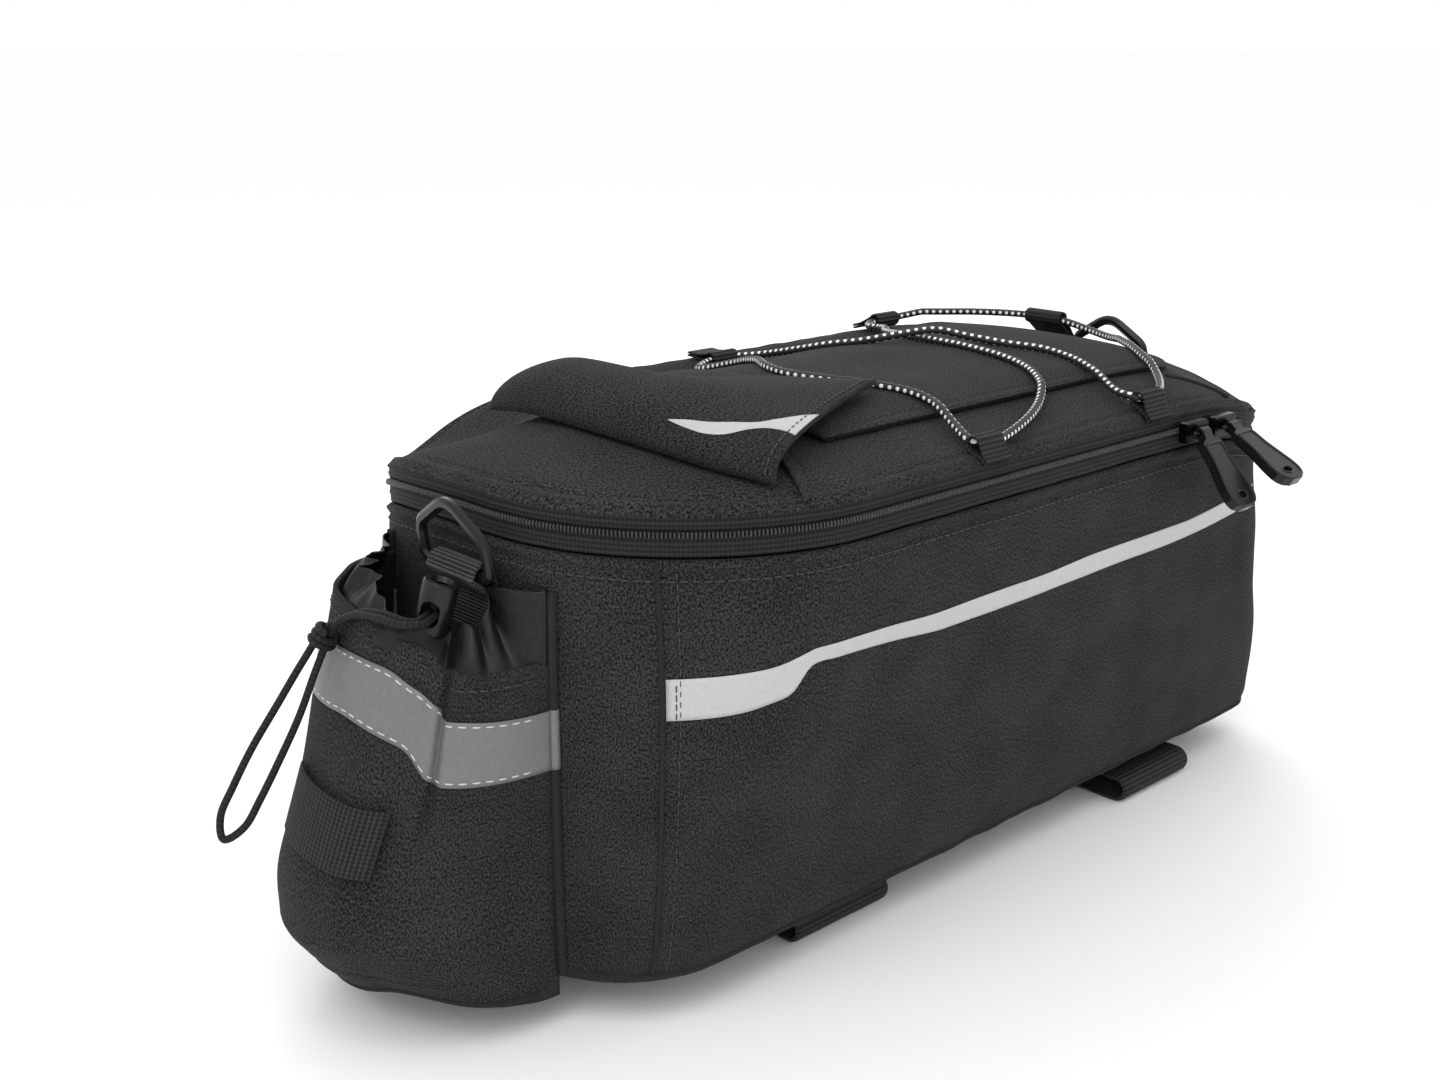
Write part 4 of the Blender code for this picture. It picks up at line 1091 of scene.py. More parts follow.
def cloth_relief(x: float, y: float, z: float, share: float) -> float:
    """How far the body's cloth stands out of its plain form.

    Args:
        x: Place along the bag.
        y: Place across it.
        z: Height before any droop.
        share: Share of the body's height.

    Returns:
        The distance.
    """
    wide = ripple(x, y * 0.6, z * 0.8, 0.085) * 0.0014 + ripple(x + 2, y, z * 0.5, 0.04) * 0.0006
    fine = ripple(x + 5, y, z, 0.020) * 0.00022
    top = bump_at(share, 0.975, 0.03)
    gather = ripple(x, y + 3, z * 0.12, 0.010) * 0.0011 * top
    roll = 0.0010 * bump_at(share, 0.990, 0.010)
    seam = -0.0007 * bump_at(share, 0.968, 0.006) - 0.0016 * smooth((share - 0.988) / 0.012)
    base = ripple(x, y + 7, z * 0.3, 0.014) * 0.0011 * bump_at(share, 0.03, 0.07)
    return wide * smooth(share * 8) * smooth((1 - share) * 5) + fine + gather + roll + seam + base


def wall(x: float, z: float, side: int, out: float = 0.0) -> tuple[Vector, Vector]:
    """A point of the body's long wall and its normal.

    Args:
        x: Place along the bag.
        z: Height.
        side: -1 for the near side and 1 for the far side.
        out: Distance outside the cloth.

    Returns:
        The point and the normal.
    """
    share = clamp(z / FORM.body_top)
    for _ in range(4):
        y = side * FORM.half_at(x, share)
        share = clamp((z + FORM.droop(x, y) * FORM.fade(share)) / FORM.body_top)
    y = side * FORM.half_at(x, share)
    dx = (FORM.half_at(x + 0.001, share) - FORM.half_at(x - 0.001, share)) / 0.002
    low, high = max(share - 0.01, 0.0), min(share + 0.01, 1.0)
    dz = (FORM.half_at(x, high) - FORM.half_at(x, low)) / ((high - low) * FORM.body_top)
    flat = Vector((-dx, side, 0.0)).normalized()
    normal = Vector((-dx, side, -dz)).normalized()
    plain = share * FORM.body_top
    point = Vector((x, y, plain - FORM.droop(x, y) * FORM.fade(share)))
    return point + flat * cloth_relief(x, y, plain, share) + normal * out, normal


# Sub-assemblies


@dataclass
class BagBody:
    """The sewn body: walls, base, puckered top seam, side seams and topstitching.

    Attributes:
        steps: Points on each corner of an outline.
        rows: Rows up the wall.
        seam_x: Place of the side seams along the bag.
        piping: Radius of the seams' rolled edge.
    """

    steps: int = 26
    rows: int = 110
    seam_x: float = 0.0230
    piping: float = 0.0009
    # inset, share of the base's sag
    base_rings: tuple = ((0.060, 1.0), (0.040, 1.0), (0.019, 1.0), (0.011, 0.9), (0.004, 0.5), (0.0015, 0.2))
    seam_foot: float = 0.004
    seam_head: float = 0.1485
    seam_steps: int = 60
    stitch_offset: float = 0.0042
    topstitch_level: float = 0.955

    def level(self, share: float, out: float = 0.0) -> tuple[list[Vector], list[Vector]]:
        """One level of the wall.

        Args:
            share: Share of the body's height.
            out: Distance outside the cloth.

        Returns:
            Its points and their normals.
        """
        points, normals = [], []
        for x, y, nx, ny in FORM.body_ring(share, self.steps):
            z = share * FORM.body_top
            away = cloth_relief(x, y, z, share) + out
            points.append(Vector((x + nx * away, y + ny * away, z - FORM.droop(x, y) * FORM.fade(share))))
            normals.append(Vector((nx, ny, 0.0)))
        return points, normals

    def build(self, builder: Builder) -> None:
        """Makes the body's pieces.

        Args:
            builder: Makes the pieces.
        """
        rows = []
        for inset, sag in self.base_rings:
            ring = FORM.body_ring(0.0, self.steps, inset)
            rows.append([Vector((x, y, -FORM.base_sag * sag)) for x, y, _, _ in ring])
        for i in range(self.rows + 1):
            rows.append(self.level((i / self.rows) ** 0.92)[0])
        bm = grid(rows, closed=True)
        bm.verts.ensure_lookup_table()
        bm.faces.new([bm.verts[i] for i in range(len(rows[0]))][::-1])
        thicken(bm, FORM.wall)
        body = builder.place("bag_body", bm, CANVAS, replaces=["body_shell"])
        self.seams(builder)

    def seams(self, builder: Builder) -> None:
        """Makes the rolled side seams and the topstitching.

        Args:
            builder: Makes the pieces.
        """
        steps = self.seam_steps
        heights = [mix(self.seam_foot, self.seam_head, k / steps) for k in range(steps + 1)]
        for side, name in ((-1, "near"), (1, "far")):
            path = [wall(self.seam_x, z, side, self.piping * 0.35)[0] for z in heights]
            builder.place(f"side_seam_{name}", sweep(path, self.piping, 8), CANVAS)
            places = [wall(self.seam_x + self.stitch_offset, z, side, 0.0001) for z in heights]
            builder.sew(f"side_stitches_{name}", places, SIDE_STITCH)
        places = list(zip(*self.level(self.topstitch_level, 0.0001)))
        builder.sew("top_seam_stitches", places + places[:1], TOPSTITCH)
        points, _ = self.level(0.016, -0.0004)
        builder.place("base_seam", sweep(points, 0.0013, 8, closed=True), CANVAS)


# Place along the bag, height of an edge.
STRIPE_TOP = (
    (0.0236, 0.111), (0.049, 0.112), (0.056, 0.113), (0.063, 0.115), (0.069, 0.1165), (0.100, 0.116),
    (0.127, 0.1145), (0.160, 0.115), (0.189, 0.1155), (0.217, 0.117), (0.281, 0.117), (0.320, 0.121),
    (0.334, 0.123),
)
STRIPE_LOW = (
    (0.0236, 0.097), (0.043, 0.098), (0.053, 0.100), (0.0605, 0.1025), (0.0665, 0.1105), (0.077, 0.1112),
    (0.105, 0.1098), (0.131, 0.1073), (0.155, 0.1073), (0.219, 0.109), (0.290, 0.110), (0.334, 0.115),
)


@dataclass
class SideStripe:
    """The light reflective stripe on the near side: wide at the seam, narrow after a slanted step."""

    columns: int = 150
    rows: int = 8
    out: float = 0.00030
    start: float = 0.0238
    end: float = 0.3330
    thickness: float = 0.0002
    stitch_x: float = 0.0262
    stitch_low: float = 0.0975
    stitch_high: float = 0.1108

    def point(self, along: float, up: float) -> Vector:
        """A point of the stripe's face, at a share of its length and of its height."""
        x = mix(self.start, self.end, along)
        return wall(x, mix(between(STRIPE_LOW, x), between(STRIPE_TOP, x), up), -1, self.out)[0]

    def build(self, builder: Builder) -> None:
        """Makes the stripe and the stitches on its wide end.

        Args:
            builder: Makes the pieces.
        """
        rows = surface(self.columns, self.rows, self.point)
        builder.place("side_stripe", thicken(grid(rows), self.thickness), PRINT)
        heights = [mix(self.stitch_low, self.stitch_high, k / 8) for k in range(9)]
        places = [wall(self.stitch_x, z, -1, self.out) for z in heights]
        builder.sew("stripe_stitches", places, STRIPE_STITCH)


@dataclass
class Closure:
    """The zip: tapes, teeth, sliders and pulls.

    Attributes:
        steps: Points on each corner of an outline.
        pitch: Distance between teeth.
        sliders: Number, place along the bag and lean of each pull in degrees.
        teeth_end: Place along the bag where the teeth start and end.
        pull_tip: Half its width at the tip's rim.
        pull_waist: Half its width at the waist's rim.
    """

    steps: int = 24
    pitch: float = 0.0013
    sliders: tuple = ((1, 0.2680, 39.0), (2, 0.2890, 60.0))
    teeth_end: float = 0.312
    tape_thickness: float = 0.0012
    tooth_half: float = 0.0012
    tooth_width: float = 0.00042
    tooth_depth: float = 0.0009
    pull_length: float = 0.0335
    pull_tip: float = 0.0165 / 2 - 0.0008
    pull_waist: float = 0.0120 / 2 - 0.0008

    def build(self, builder: Builder) -> None:
        """Makes the zip's pieces.

        Args:
            builder: Makes the pieces.
        """
        rows = []
        low, high = FORM.zip_height - FORM.tape_below, FORM.zip_height + FORM.tape_above
        for i in range(21):
            share = i / 20
            out = -0.0006 - 0.0008 * bump_at(share, 0.56, 0.09) + 0.0004 * bump_at(share, 0.82, 0.05)
            out += 0.0003 * bump_at(share, 0.27, 0.05)
            row = []
            for x, y, nx, ny in FORM.rim_ring(0.0, self.steps):
                away = out + ripple(x, y, 2.0, 0.012) * 0.00035 * abs(share - 0.5) * 2
                row.append(Vector((x + nx * away, y + ny * away, mix(low, high, share) - FORM.droop(x, y))))
            rows.append(row)
        bm = thicken(grid(rows, closed=True), self.tape_thickness)
        builder.place("zip_tapes", bm, TAPE, replaces=["zip_tape"])
        self.teeth(builder)
        for number, x, angle in self.sliders:
            self.pull_rim(builder, number, x, angle)
        for name, finish in (("zip_slider_", METAL), ("zip_pull_", PLASTIC)):
            for number, _, _ in self.sliders:
                builder.dress(name + str(number), finish)

    def teeth(self, builder: Builder) -> None:
        """Makes the coil's teeth round three sides.

        Args:
            builder: Makes the pieces.
        """
        ring = FORM.rim_ring(0.0002, 60)
        start = next(i for i, p in enumerate(ring) if p[1] > 0 and p[3] > 0.99 and p[0] < self.teeth_end)
        end = max(i for i, p in enumerate(ring) if p[3] < -0.99 and p[0] < self.teeth_end)
        path = []
        for x, y, _, _ in ring[start:] + ring[:end + 1]:
            path.append(Vector((x, y, FORM.zip_height - FORM.droop(x, y))))
        bm = bmesh.new()
        along = where = 0.0
        for before, after in zip(path, path[1:]):
            step = (after - before).length
            if step < 1e-7:
                continue
            way = (after - before) / step
            out = Vector((way.y, -way.x, 0.0)).normalized()
            while where < along + step:
                self.tooth(bm, before + way * (where - along), way, out)
                where += self.pitch
            along += step
        builder.place("zip_teeth", bm, TEETH, replaces=["zip_coil"])

    def tooth(self, bm: bmesh.types.BMesh, point: Vector, way: Vector, out: Vector) -> None:
        """Adds one tooth: a small rounded bar across the zip.

        Args:
            bm: Mesh to change.
            point: Middle of the tooth.
            way: Way along the zip.
            out: Way out.
        """
        rows = []
        for z, size in ((-1.0, 0.35), (-0.55, 0.95), (0.55, 0.95), (1.0, 0.35)):
            row = []
            for a, b in ((-1, -0.4), (1, -0.4), (1, 0.5), (0.5, 1), (-0.5, 1), (-1, 0.5)):
                corner = point + UP * z * self.tooth_half + way * a * self.tooth_width * size
                row.append(corner + out * b * self.tooth_depth * size)
            rows.append(row)
        grid(rows, closed=True, cap=True, bm=bm)

    def pull_rim(self, builder: Builder, number: int, x: float, angle: float) -> None:
        """Makes a pull's raised rim, on both faces, and the rim of its slot.

        Args:
            builder: Makes the piece.
            number: The pull's number.
            x: Place along the bag.
            angle: Lean in degrees.
        """
        pivot = Vector((x, -0.1130, FORM.zip_height - FORM.droop(x, -FORM.rim_width / 2)))
        turn = Matrix.Rotation(math.radians(-angle), 4, "X") @ Matrix.Rotation(math.radians(90), 4, "X")
        place = Matrix.Translation(pivot) @ turn
        length, tip, waist = self.pull_length, self.pull_tip, self.pull_waist
        side = [(waist, -0.0056), (waist, -0.40 * length), (tip, -0.74 * length), (tip, -0.86 * length),
                (tip * 0.8, -0.94 * length), (tip * 0.4, -length + 0.0009)]
        side += [(-a, b) for a, b in reversed(side)]
        plan = rounded([Vector((a, b, 0.0)) for a, b in side], 0.002, 3)
        slot = []
        for k in range(24):
            a = 2 * math.pi * k / 24
            slot.append(Vector((0.0030 * math.cos(a), -0.84 * length + 0.0018 * math.sin(a), 0.0)))
        bm = bmesh.new()
        for face in (-1, 1):
            lift = Vector((0.0, 0.0, face * 0.0016))
            sweep([place @ (p + lift) for p in plan], 0.00065, 8, True, bm)
            sweep([place @ (p + lift) for p in slot], 0.00045, 8, True, bm)
        builder.place(f"pull_rim_{number}", bm, PLASTIC, body="pull_one" if number == 1 else "pull_two")


@dataclass
class Lid:
    """The padded lid with its padded panel."""

    steps: int = 26
    rows: int = 76
    # x and y of the short seam at the panel's far corner
    seam_route: tuple = (
        (0.2960, -0.0775), (0.3030, -0.0800), (0.3085, -0.0860), (0.3090, -0.0930), (0.3080, -0.0990),
    )

    def soft(self, x: float, y: float) -> float:
        """Soft unevenness of the lid's cloth at a place.

        Args:
            x: Place along the bag.
            y: Place across it.

        Returns:
            The distance.
        """
        inset = FORM.rim_inset(x, y)
        broad = ripple(x, y, 1.0, 0.05) * 0.0007 + ripple(x, y, 9.0, 0.022) * 0.0003
        return broad * smooth(inset / 0.03)

    def build(self, builder: Builder) -> None:
        """Makes the lid's skin and the panel.

        Args:
            builder: Makes the pieces.
        """
        rows = []
        for i in range(self.rows + 1):
            inset = (i / self.rows) ** 1.35 * FORM.rim_width / 2 * 0.985
            row = []
            for x, y, _, _ in FORM.rim_ring(inset, self.steps):
                z = FORM.lid(x, y) if i else FORM.lid_base - FORM.droop(x, y)
                edge = ripple(x, y, 4.0, 0.011) * 0.0005 * bump_at(inset, 0.004, 0.004)
                roll = 0.0005 * bump_at(inset, 0.0030, 0.0012) - 0.0006 * bump_at(inset, 0.0062, 0.0010)
                row.append(Vector((x, y, z + self.soft(x, y) + max(edge, -0.0002) + roll)))
            rows.append(row)
        bm = grid(rows, closed=True)
        count, total = len(rows[0]), len(bm.verts)
        bm.verts.ensure_lookup_table()
        bm.faces.new([bm.verts[i] for i in range(total - count, total)])
        thicken(bm, FORM.wall)
        builder.place("bag_lid", bm, CANVAS, replaces=["lid_shell"])
        self.panel(builder)

    def panel_point(self, x: float, y: float, out: float = 0.0) -> Vector:
        """A point of the panel's upper face.

        Args:
            x: Place along the bag.
            y: Place across it.
            out: Distance above the face.

        Returns:
            The point.
        """
        room = min(FORM.panel_width(x) - abs(y), x - FORM.panel_start, FORM.panel_end - x)
        rise = 0.45 + 0.55 * smooth(room / 0.020)
        fold = -0.0005 * bump_at(room, 0.0042, 0.0010) - 0.0006 * (1 - smooth(room / 0.0015))
        soft = ripple(x, y, 3.0, 0.035) * 0.0005 * smooth(room / 0.02)
        return Vector((x, y, FORM.lid(x, y) + 0.0008 + FORM.panel_thickness * rise + fold + soft + out))

    def panel(self, builder: Builder) -> None:
        """Makes the panel, its edge stitches and the seam at its far corner.

        Args:
            builder: Makes the pieces.
        """
        rows = []
        for i in range(101):
            x = mix(FORM.panel_start, FORM.panel_end - 0.0002, 1 - (1 - i / 100) ** 1.25)
            half = FORM.panel_width(x)
            places = [half * math.sin(math.pi / 2 * (2 * j / 64 - 1)) for j in range(65)]
            rows.append([self.panel_point(x, y) for y in places])
        bm = thicken(grid(rows), 0.0014)
        builder.place("lid_panel", bm, CANVAS, replaces=["top_pocket"])
        edge = [(FORM.panel_start + 0.004, -1), (0.302, -1), (FORM.panel_end - 0.0045, -0.86)]
        edge += [(x, -y) for x, y in reversed(edge)]
        plan = []
        for (x0, y0), (x1, y1) in zip(edge, edge[1:]):
            for k in range(24):
                x, y = mix(x0, x1, k / 24), mix(y0, y1, k / 24)
                plan.append(self.panel_point(x, y * (FORM.panel_width(x) - 0.0045), 0.0002))
        builder.sew("panel_stitches", [(point, UP) for point in plan], TOPSTITCH)
        seam = curve([Vector((x, y, 0.0)) for x, y in self.seam_route], 8)
        path = [Vector((p.x, p.y, FORM.lid(p.x, p.y) + self.soft(p.x, p.y) + 0.0003)) for p in seam]
        builder.place("lid_seam", sweep(path, 0.0009, 8), CANVAS)


# Front x, front y, back x, back y, crest of the flap at each station from the near side to the far side, with
# x as a share of the length and y as a share of half the rim's width.
FLAP_STATIONS = (
    (0.0, 0.162, -0.87, 0.418, -0.48, 0.58),
    (1.0, 0.137, -0.64, 0.385, -0.33, 0.95),
    (2.0, 0.125, -0.30, 0.365, -0.16, 1.00),
    (3.0, 0.130, 0.12, 0.350, 0.08, 0.95),
    (4.0, 0.140, 0.44, 0.355, 0.30, 0.70),
    (5.0, 0.155, 0.56, 0.360, 0.50, 0.22),
)


@dataclass
class Flap:
    """The stiff flap over the panel pocket's mouth, with stitches at its near end and a bare reflective print."""

    stations: int = 64
    steps: int = 44
    thickness: float = 0.0022
    height: float = 0.016
    # station, how far over the flap the print starts and ends
    print_rows: tuple = ((0.0, 0.38, 0.60), (0.15, 0.37, 0.54), (0.35, 0.33, 0.42), (0.50, 0.275, 0.335),
                         (0.75, 0.17, 0.26), (1.00, 0.125, 0.20), (1.25, 0.12, 0.165), (1.45, 0.130, 0.134))
    print_thickness: float = 0.0002
    # x and y of the strip behind the flap's near end
    strap_route: tuple = ((0.0790, -0.0700), (0.0765, -0.0760), (0.0705, -0.0880), (0.0640, -0.0995))
    strap_width: float = 0.0055
    strap_thickness: float = 0.0014

    def support(self, x: float, y: float) -> float:
        """What the flap is held up by.

        Args:
            x: Place along the bag.
            y: Place across it.

        Returns:
            Its height.
        """
        height = FORM.lid(x, y) + FORM.droop(x, y)
        if x > FORM.panel_start - 0.006 and abs(y) < FORM.panel_half + 0.004:
            height += 2 * FORM.gap + FORM.panel_thickness
        return height

    def point(self, station: float, share: float, out: float = 0.0) -> Vector:
        """A point of the flap's outer face.

        Args:
            station: Place from the near side, 0, to the far side, 5.
            share: Place from the front edge, 0, to the back, 1.
            out: Distance above the face.

        Returns:
            The point.
        """
        fx, fy, bx, by, crest = (between(FLAP_STATIONS, station, k) for k in range(1, 6))
        front = Vector((fx * FORM.length, fy * FORM.rim_width / 2))
        back = Vector((bx * FORM.length, by * FORM.rim_width / 2))
        foot = front.lerp(back, 1.5 * self.thickness / (back - front).length)
        low = max(self.support(*front), self.support(*foot)) + 0.0014
        high = self.support(*back) + 0.0012 + self.thickness
        along = share ** 1.7
        spot = front.lerp(back, along)
        arch = math.sin(math.pi * clamp(share) ** 0.80) ** 0.8 if 0 < share < 1 else 0.0
        arch *= 1 - 0.75 * smooth((share - 0.45) / 0.35) * smooth((station - 1.4) / 1.2)
        z = mix(low, high, along) + self.height * (crest + 0.12 * bump_at(station, 3.6, 0.8)) * arch
        z += (2 * FORM.cord_radius + 0.0007) * max(1 - station / 2, 0.0) * share ** 3
        wave = ripple(spot.x, spot.y, 6.0, 0.03) * 0.0005 * math.sin(math.pi * clamp(share))
        return Vector((spot.x, spot.y, z + wave + out))

    def normal(self, station: float, share: float) -> Vector:
        """The flap's outward normal at a place.

        Args:
            station: Place across the flap.
            share: Place from the front edge, 0, to the back, 1.

        Returns:
            The normal.
        """
        along = self.point(station, min(share + 0.02, 1.0)) - self.point(station, max(share - 0.02, 0.0))
        across = self.point(min(station + 0.05, 5.0), share) - self.point(max(station - 0.05, 0.0), share)
        return along.cross(across).normalized()

    def build(self, builder: Builder) -> None:
        """Makes the flap, its stitches, its print and the strip behind its near end.

        Args:
            builder: Makes the pieces.
        """
        rows = [[self.point(5 * i / self.stations, j / self.steps) for j in range(self.steps + 1)]
                for i in range(self.stations + 1)]
        bm = grid(rows)
        bm.normal_update()
        middle = bm.faces[:][len(bm.faces) // 2]
        if middle.normal.z < 0:
            bmesh.ops.reverse_faces(bm, faces=bm.faces[:])
        thicken(bm, self.thickness)
        builder.place("flap", bm, CANVAS, replaces=["top_flap"])
        border = [(0.12, 0.02 + 0.96 * k / 30) for k in range(31)]
        places = [(self.point(s, t) + self.normal(s, t) * 0.0002, self.normal(s, t)) for s, t in border]
        builder.sew("flap_stitches", places, TOPSTITCH)
        rows = surface(12, 60, self.print_point)
        builder.place("flap_print", thicken(grid(rows), self.print_thickness), PRINT)
        strap = curve([Vector((x, y, 0.0)) for x, y in self.strap_route], 8)
        path = [Vector((q.x, q.y, FORM.lid(q.x, q.y) + 0.0012)) for q in strap]
        across = Vector((0.90, 0.30, 0.05)).normalized()
        builder.place("flap_strap", ribbon(path, across, self.strap_width, self.strap_thickness), CANVAS)

    def print_point(self, over: float, along: float) -> Vector:
        """A point of the print's face.

        Args:
            over: Share of the print's width, from the flap's front edge.
            along: Share of its length, from the near side.

        Returns:
            The point.
        """
        station = mix(self.print_rows[0][0] + 0.02, self.print_rows[-1][0], along)
        low, high = between(self.print_rows, station, 1), between(self.print_rows, station, 2)
        share = mix(low, high, over)
        return self.point(station, share) + self.normal(station, share) * 0.0003


# Cord net: x, y and the height above what the cord lies on, point by point round its closed loop.
NET_ROUTE = (
    (0.1460, -0.0965, 0.0010), (0.1490, -0.1000, 0.0014), (0.1550, -0.1008, 0.0014),
    (0.1640, -0.0985, 0.0010), (0.1750, -0.0950, 0.0006), (0.1890, -0.0898, 0.0006),
    (0.2040, -0.0822, 0.0004), (0.2155, -0.0742, 0.0004), (0.2240, -0.0645, 0.0004),
    (0.2305, -0.0530, 0.0004), (0.2345, -0.0390, 0.0004), (0.2372, -0.0180, 0.0004),
    (0.2395, 0.0050, 0.0004), (0.2470, 0.0260, 0.0004), (0.2630, 0.0470, 0.0006),
    (0.2790, 0.0610, 0.0008), (0.2845, 0.0690, 0.0012), (0.2860, 0.0770, 0.0020),
    (0.2920, 0.0832, 0.0028), (0.2990, 0.0850, 0.0030), (0.3070, 0.0850, 0.0030),
    (0.3160, 0.0838, 0.0030), (0.3260, 0.0770, 0.0036), (0.3370, 0.0620, 0.0048),
    (0.3435, 0.0460, 0.0060), (0.3460, 0.0320, 0.0068), (0.3460, 0.0205, 0.0070),
    (0.3450, 0.0080, 0.0060), (0.3400, -0.0090, 0.0036), (0.3290, -0.0280, 0.0014),
    (0.3140, -0.0440, 0.0006), (0.3005, -0.0590, 0.0006), (0.2890, -0.0735, 0.0006),
    (0.2785, -0.0845, 0.0010), (0.2665, -0.0935, 0.0020), (0.2560, -0.0990, 0.0028),
    (0.2480, -0.1006, 0.0030), (0.2420, -0.0975, 0.0028), (0.2430, -0.0900, 0.0014),
    (0.2475, -0.0812, 0.0006), (0.2535, -0.0690, 0.0004), (0.2585, -0.0555, 0.0004),
    (0.2600, -0.0410, 0.0004), (0.2555, -0.0265, 0.0004), (0.2490, -0.0130, 0.0018),
    (0.2410, -0.0010, 0.0042), (0.2310, 0.0100, 0.0024), (0.2210, 0.0220, 0.0004),
    (0.2140, 0.0380, 0.0004), (0.2120, 0.0560, 0.0006), (0.2110, 0.0710, 0.0008),
    (0.2055, 0.0810, 0.0010), (0.1975, 0.0840, 0.0010), (0.1885, 0.0832, 0.0010),
    (0.1790, 0.0785, 0.0008), (0.1725, 0.0700, 0.0008), (0.1710, 0.0580, 0.0006),
    (0.1685, 0.0420, 0.0004), (0.1590, 0.0220, 0.0004), (0.1475, 0.0050, 0.0004),
    (0.1430, -0.0120, 0.0004), (0.1470, -0.0265, 0.0004), (0.1540, -0.0400, 0.0004),
    (0.1595, -0.0540, 0.0004), (0.1590, -0.0670, 0.0004), (0.1550, -0.0775, 0.0004),
    (0.1500, -0.0880, 0.0006),
)
# Name, x, y, height above the support, width of the webbing, and whether it stands at the far end.
NET_LOOPS = (
    ("net_loop_near_1", 0.1500, -0.1000, 0.0014, 0.0135, False),
    ("net_loop_near_2", 0.2480, -0.1000, 0.0030, 0.0145, False),
    ("net_loop_far_1", 0.1975, 0.0840, 0.0010, 0.015, False),
    ("net_loop_far_2", 0.3050, 0.0850, 0.0030, 0.015, False),
    ("net_loop_end", 0.3460, 0.0205, 0.0070, 0.020, True),
)


@dataclass
class CordNet:
    """The elastic net on the lid: one round cord with tracer dots, and the webbing loops that hold it."""

    sides: int = 16
    steps: int = 8
    easing: int = 60
    loop_radius: float = 0.0029
    webbing: float = 0.0010
    rib_pitch: float = 0.0017
    rib_depth: float = 0.00008

    def point(self, x: float, y: float, above: float) -> Vector:
        """A point of the cord's middle line."""
        return Vector((x, y, FORM.deck(x, y) + FORM.cord_radius + 0.0007 + above))

    def build(self, builder: Builder) -> None:
        """Makes the cord and its loops.

        Args:
            builder: Makes the pieces.
        """
        plan = curve([Vector(p) for p in NET_ROUTE], self.steps, closed=True)
        decks = [FORM.deck(p.x, p.y) for p in plan]
        lifted = decks
        for _ in range(self.easing):
            lifted = [max(own, (lifted[i - 1] + 2 * lifted[i] + lifted[(i + 1) % len(lifted)]) / 4)
                      for i, own in enumerate(decks)]
        path = []
        for p, height in zip(plan, lifted):
            path.append(Vector((p.x, p.y, height + FORM.cord_radius + 0.0007 + p.z)))
        bm = sweep(path, FORM.cord_radius, self.sides, closed=True, up=UP)
        builder.place("net_cord_braid", bm, TRACER, replaces=["net_cord"])
        for name, x, y, above, width, at_end in NET_LOOPS:
            self.loop(builder, name, self.point(x, y, above), x, y, width, at_end)

    def loop(self, builder: Builder, name: str, centre: Vector, x: float, y: float, width: float,
             at_end: bool) -> None:
        """Makes one loop: webbing folded round the cord and sewn together below it.

        Args:
            builder: Makes the pieces.
            name: The node's name.
            centre: Middle of the cord there.
            x: Place along the bag.
            y: Place across it.
            width: The webbing's width.
            at_end: Whether it stands at the far end.
        """
        foot_z = FORM.zip_height + FORM.tape_above + 0.0014
        way = ACROSS if at_end else ALONG
        if at_end:
            foot = Vector((FORM.length + 0.0020, y, foot_z))
        elif y < 0:
            foot = Vector((x, -FORM.rim_width / 2 - 0.0020, foot_z))
        else:
            far_y = FORM.rim_width / 2 - 0.0060
            foot = Vector((x, far_y, FORM.lid(x, far_y) + 0.0024))
        along = (centre - foot).normalized()
        normal = way.cross(along)
        length = (centre - foot).length
        radius = self.loop_radius
        flat = [(-length, 0.00062), (-length * 0.8, 0.00064), (-length * 0.62, 0.0007)]
        flat += [(-radius * 0.95, 0.0019)]
        turns = [math.radians(a) for a in range(115, -1, -23)]
        fold = flat + [(radius * math.cos(a), radius * math.sin(a)) for a in turns]
        fold += [(a, -b) for a, b in reversed(fold[:-1])]
        path = curve([centre + along * a + normal * b for a, b in fold], 4)
        bm = ribbon(path, way, width, self.webbing, self.rib_pitch, self.rib_depth)
        builder.place(name + "_webbing", bm, WEBBING, replaces=[name])


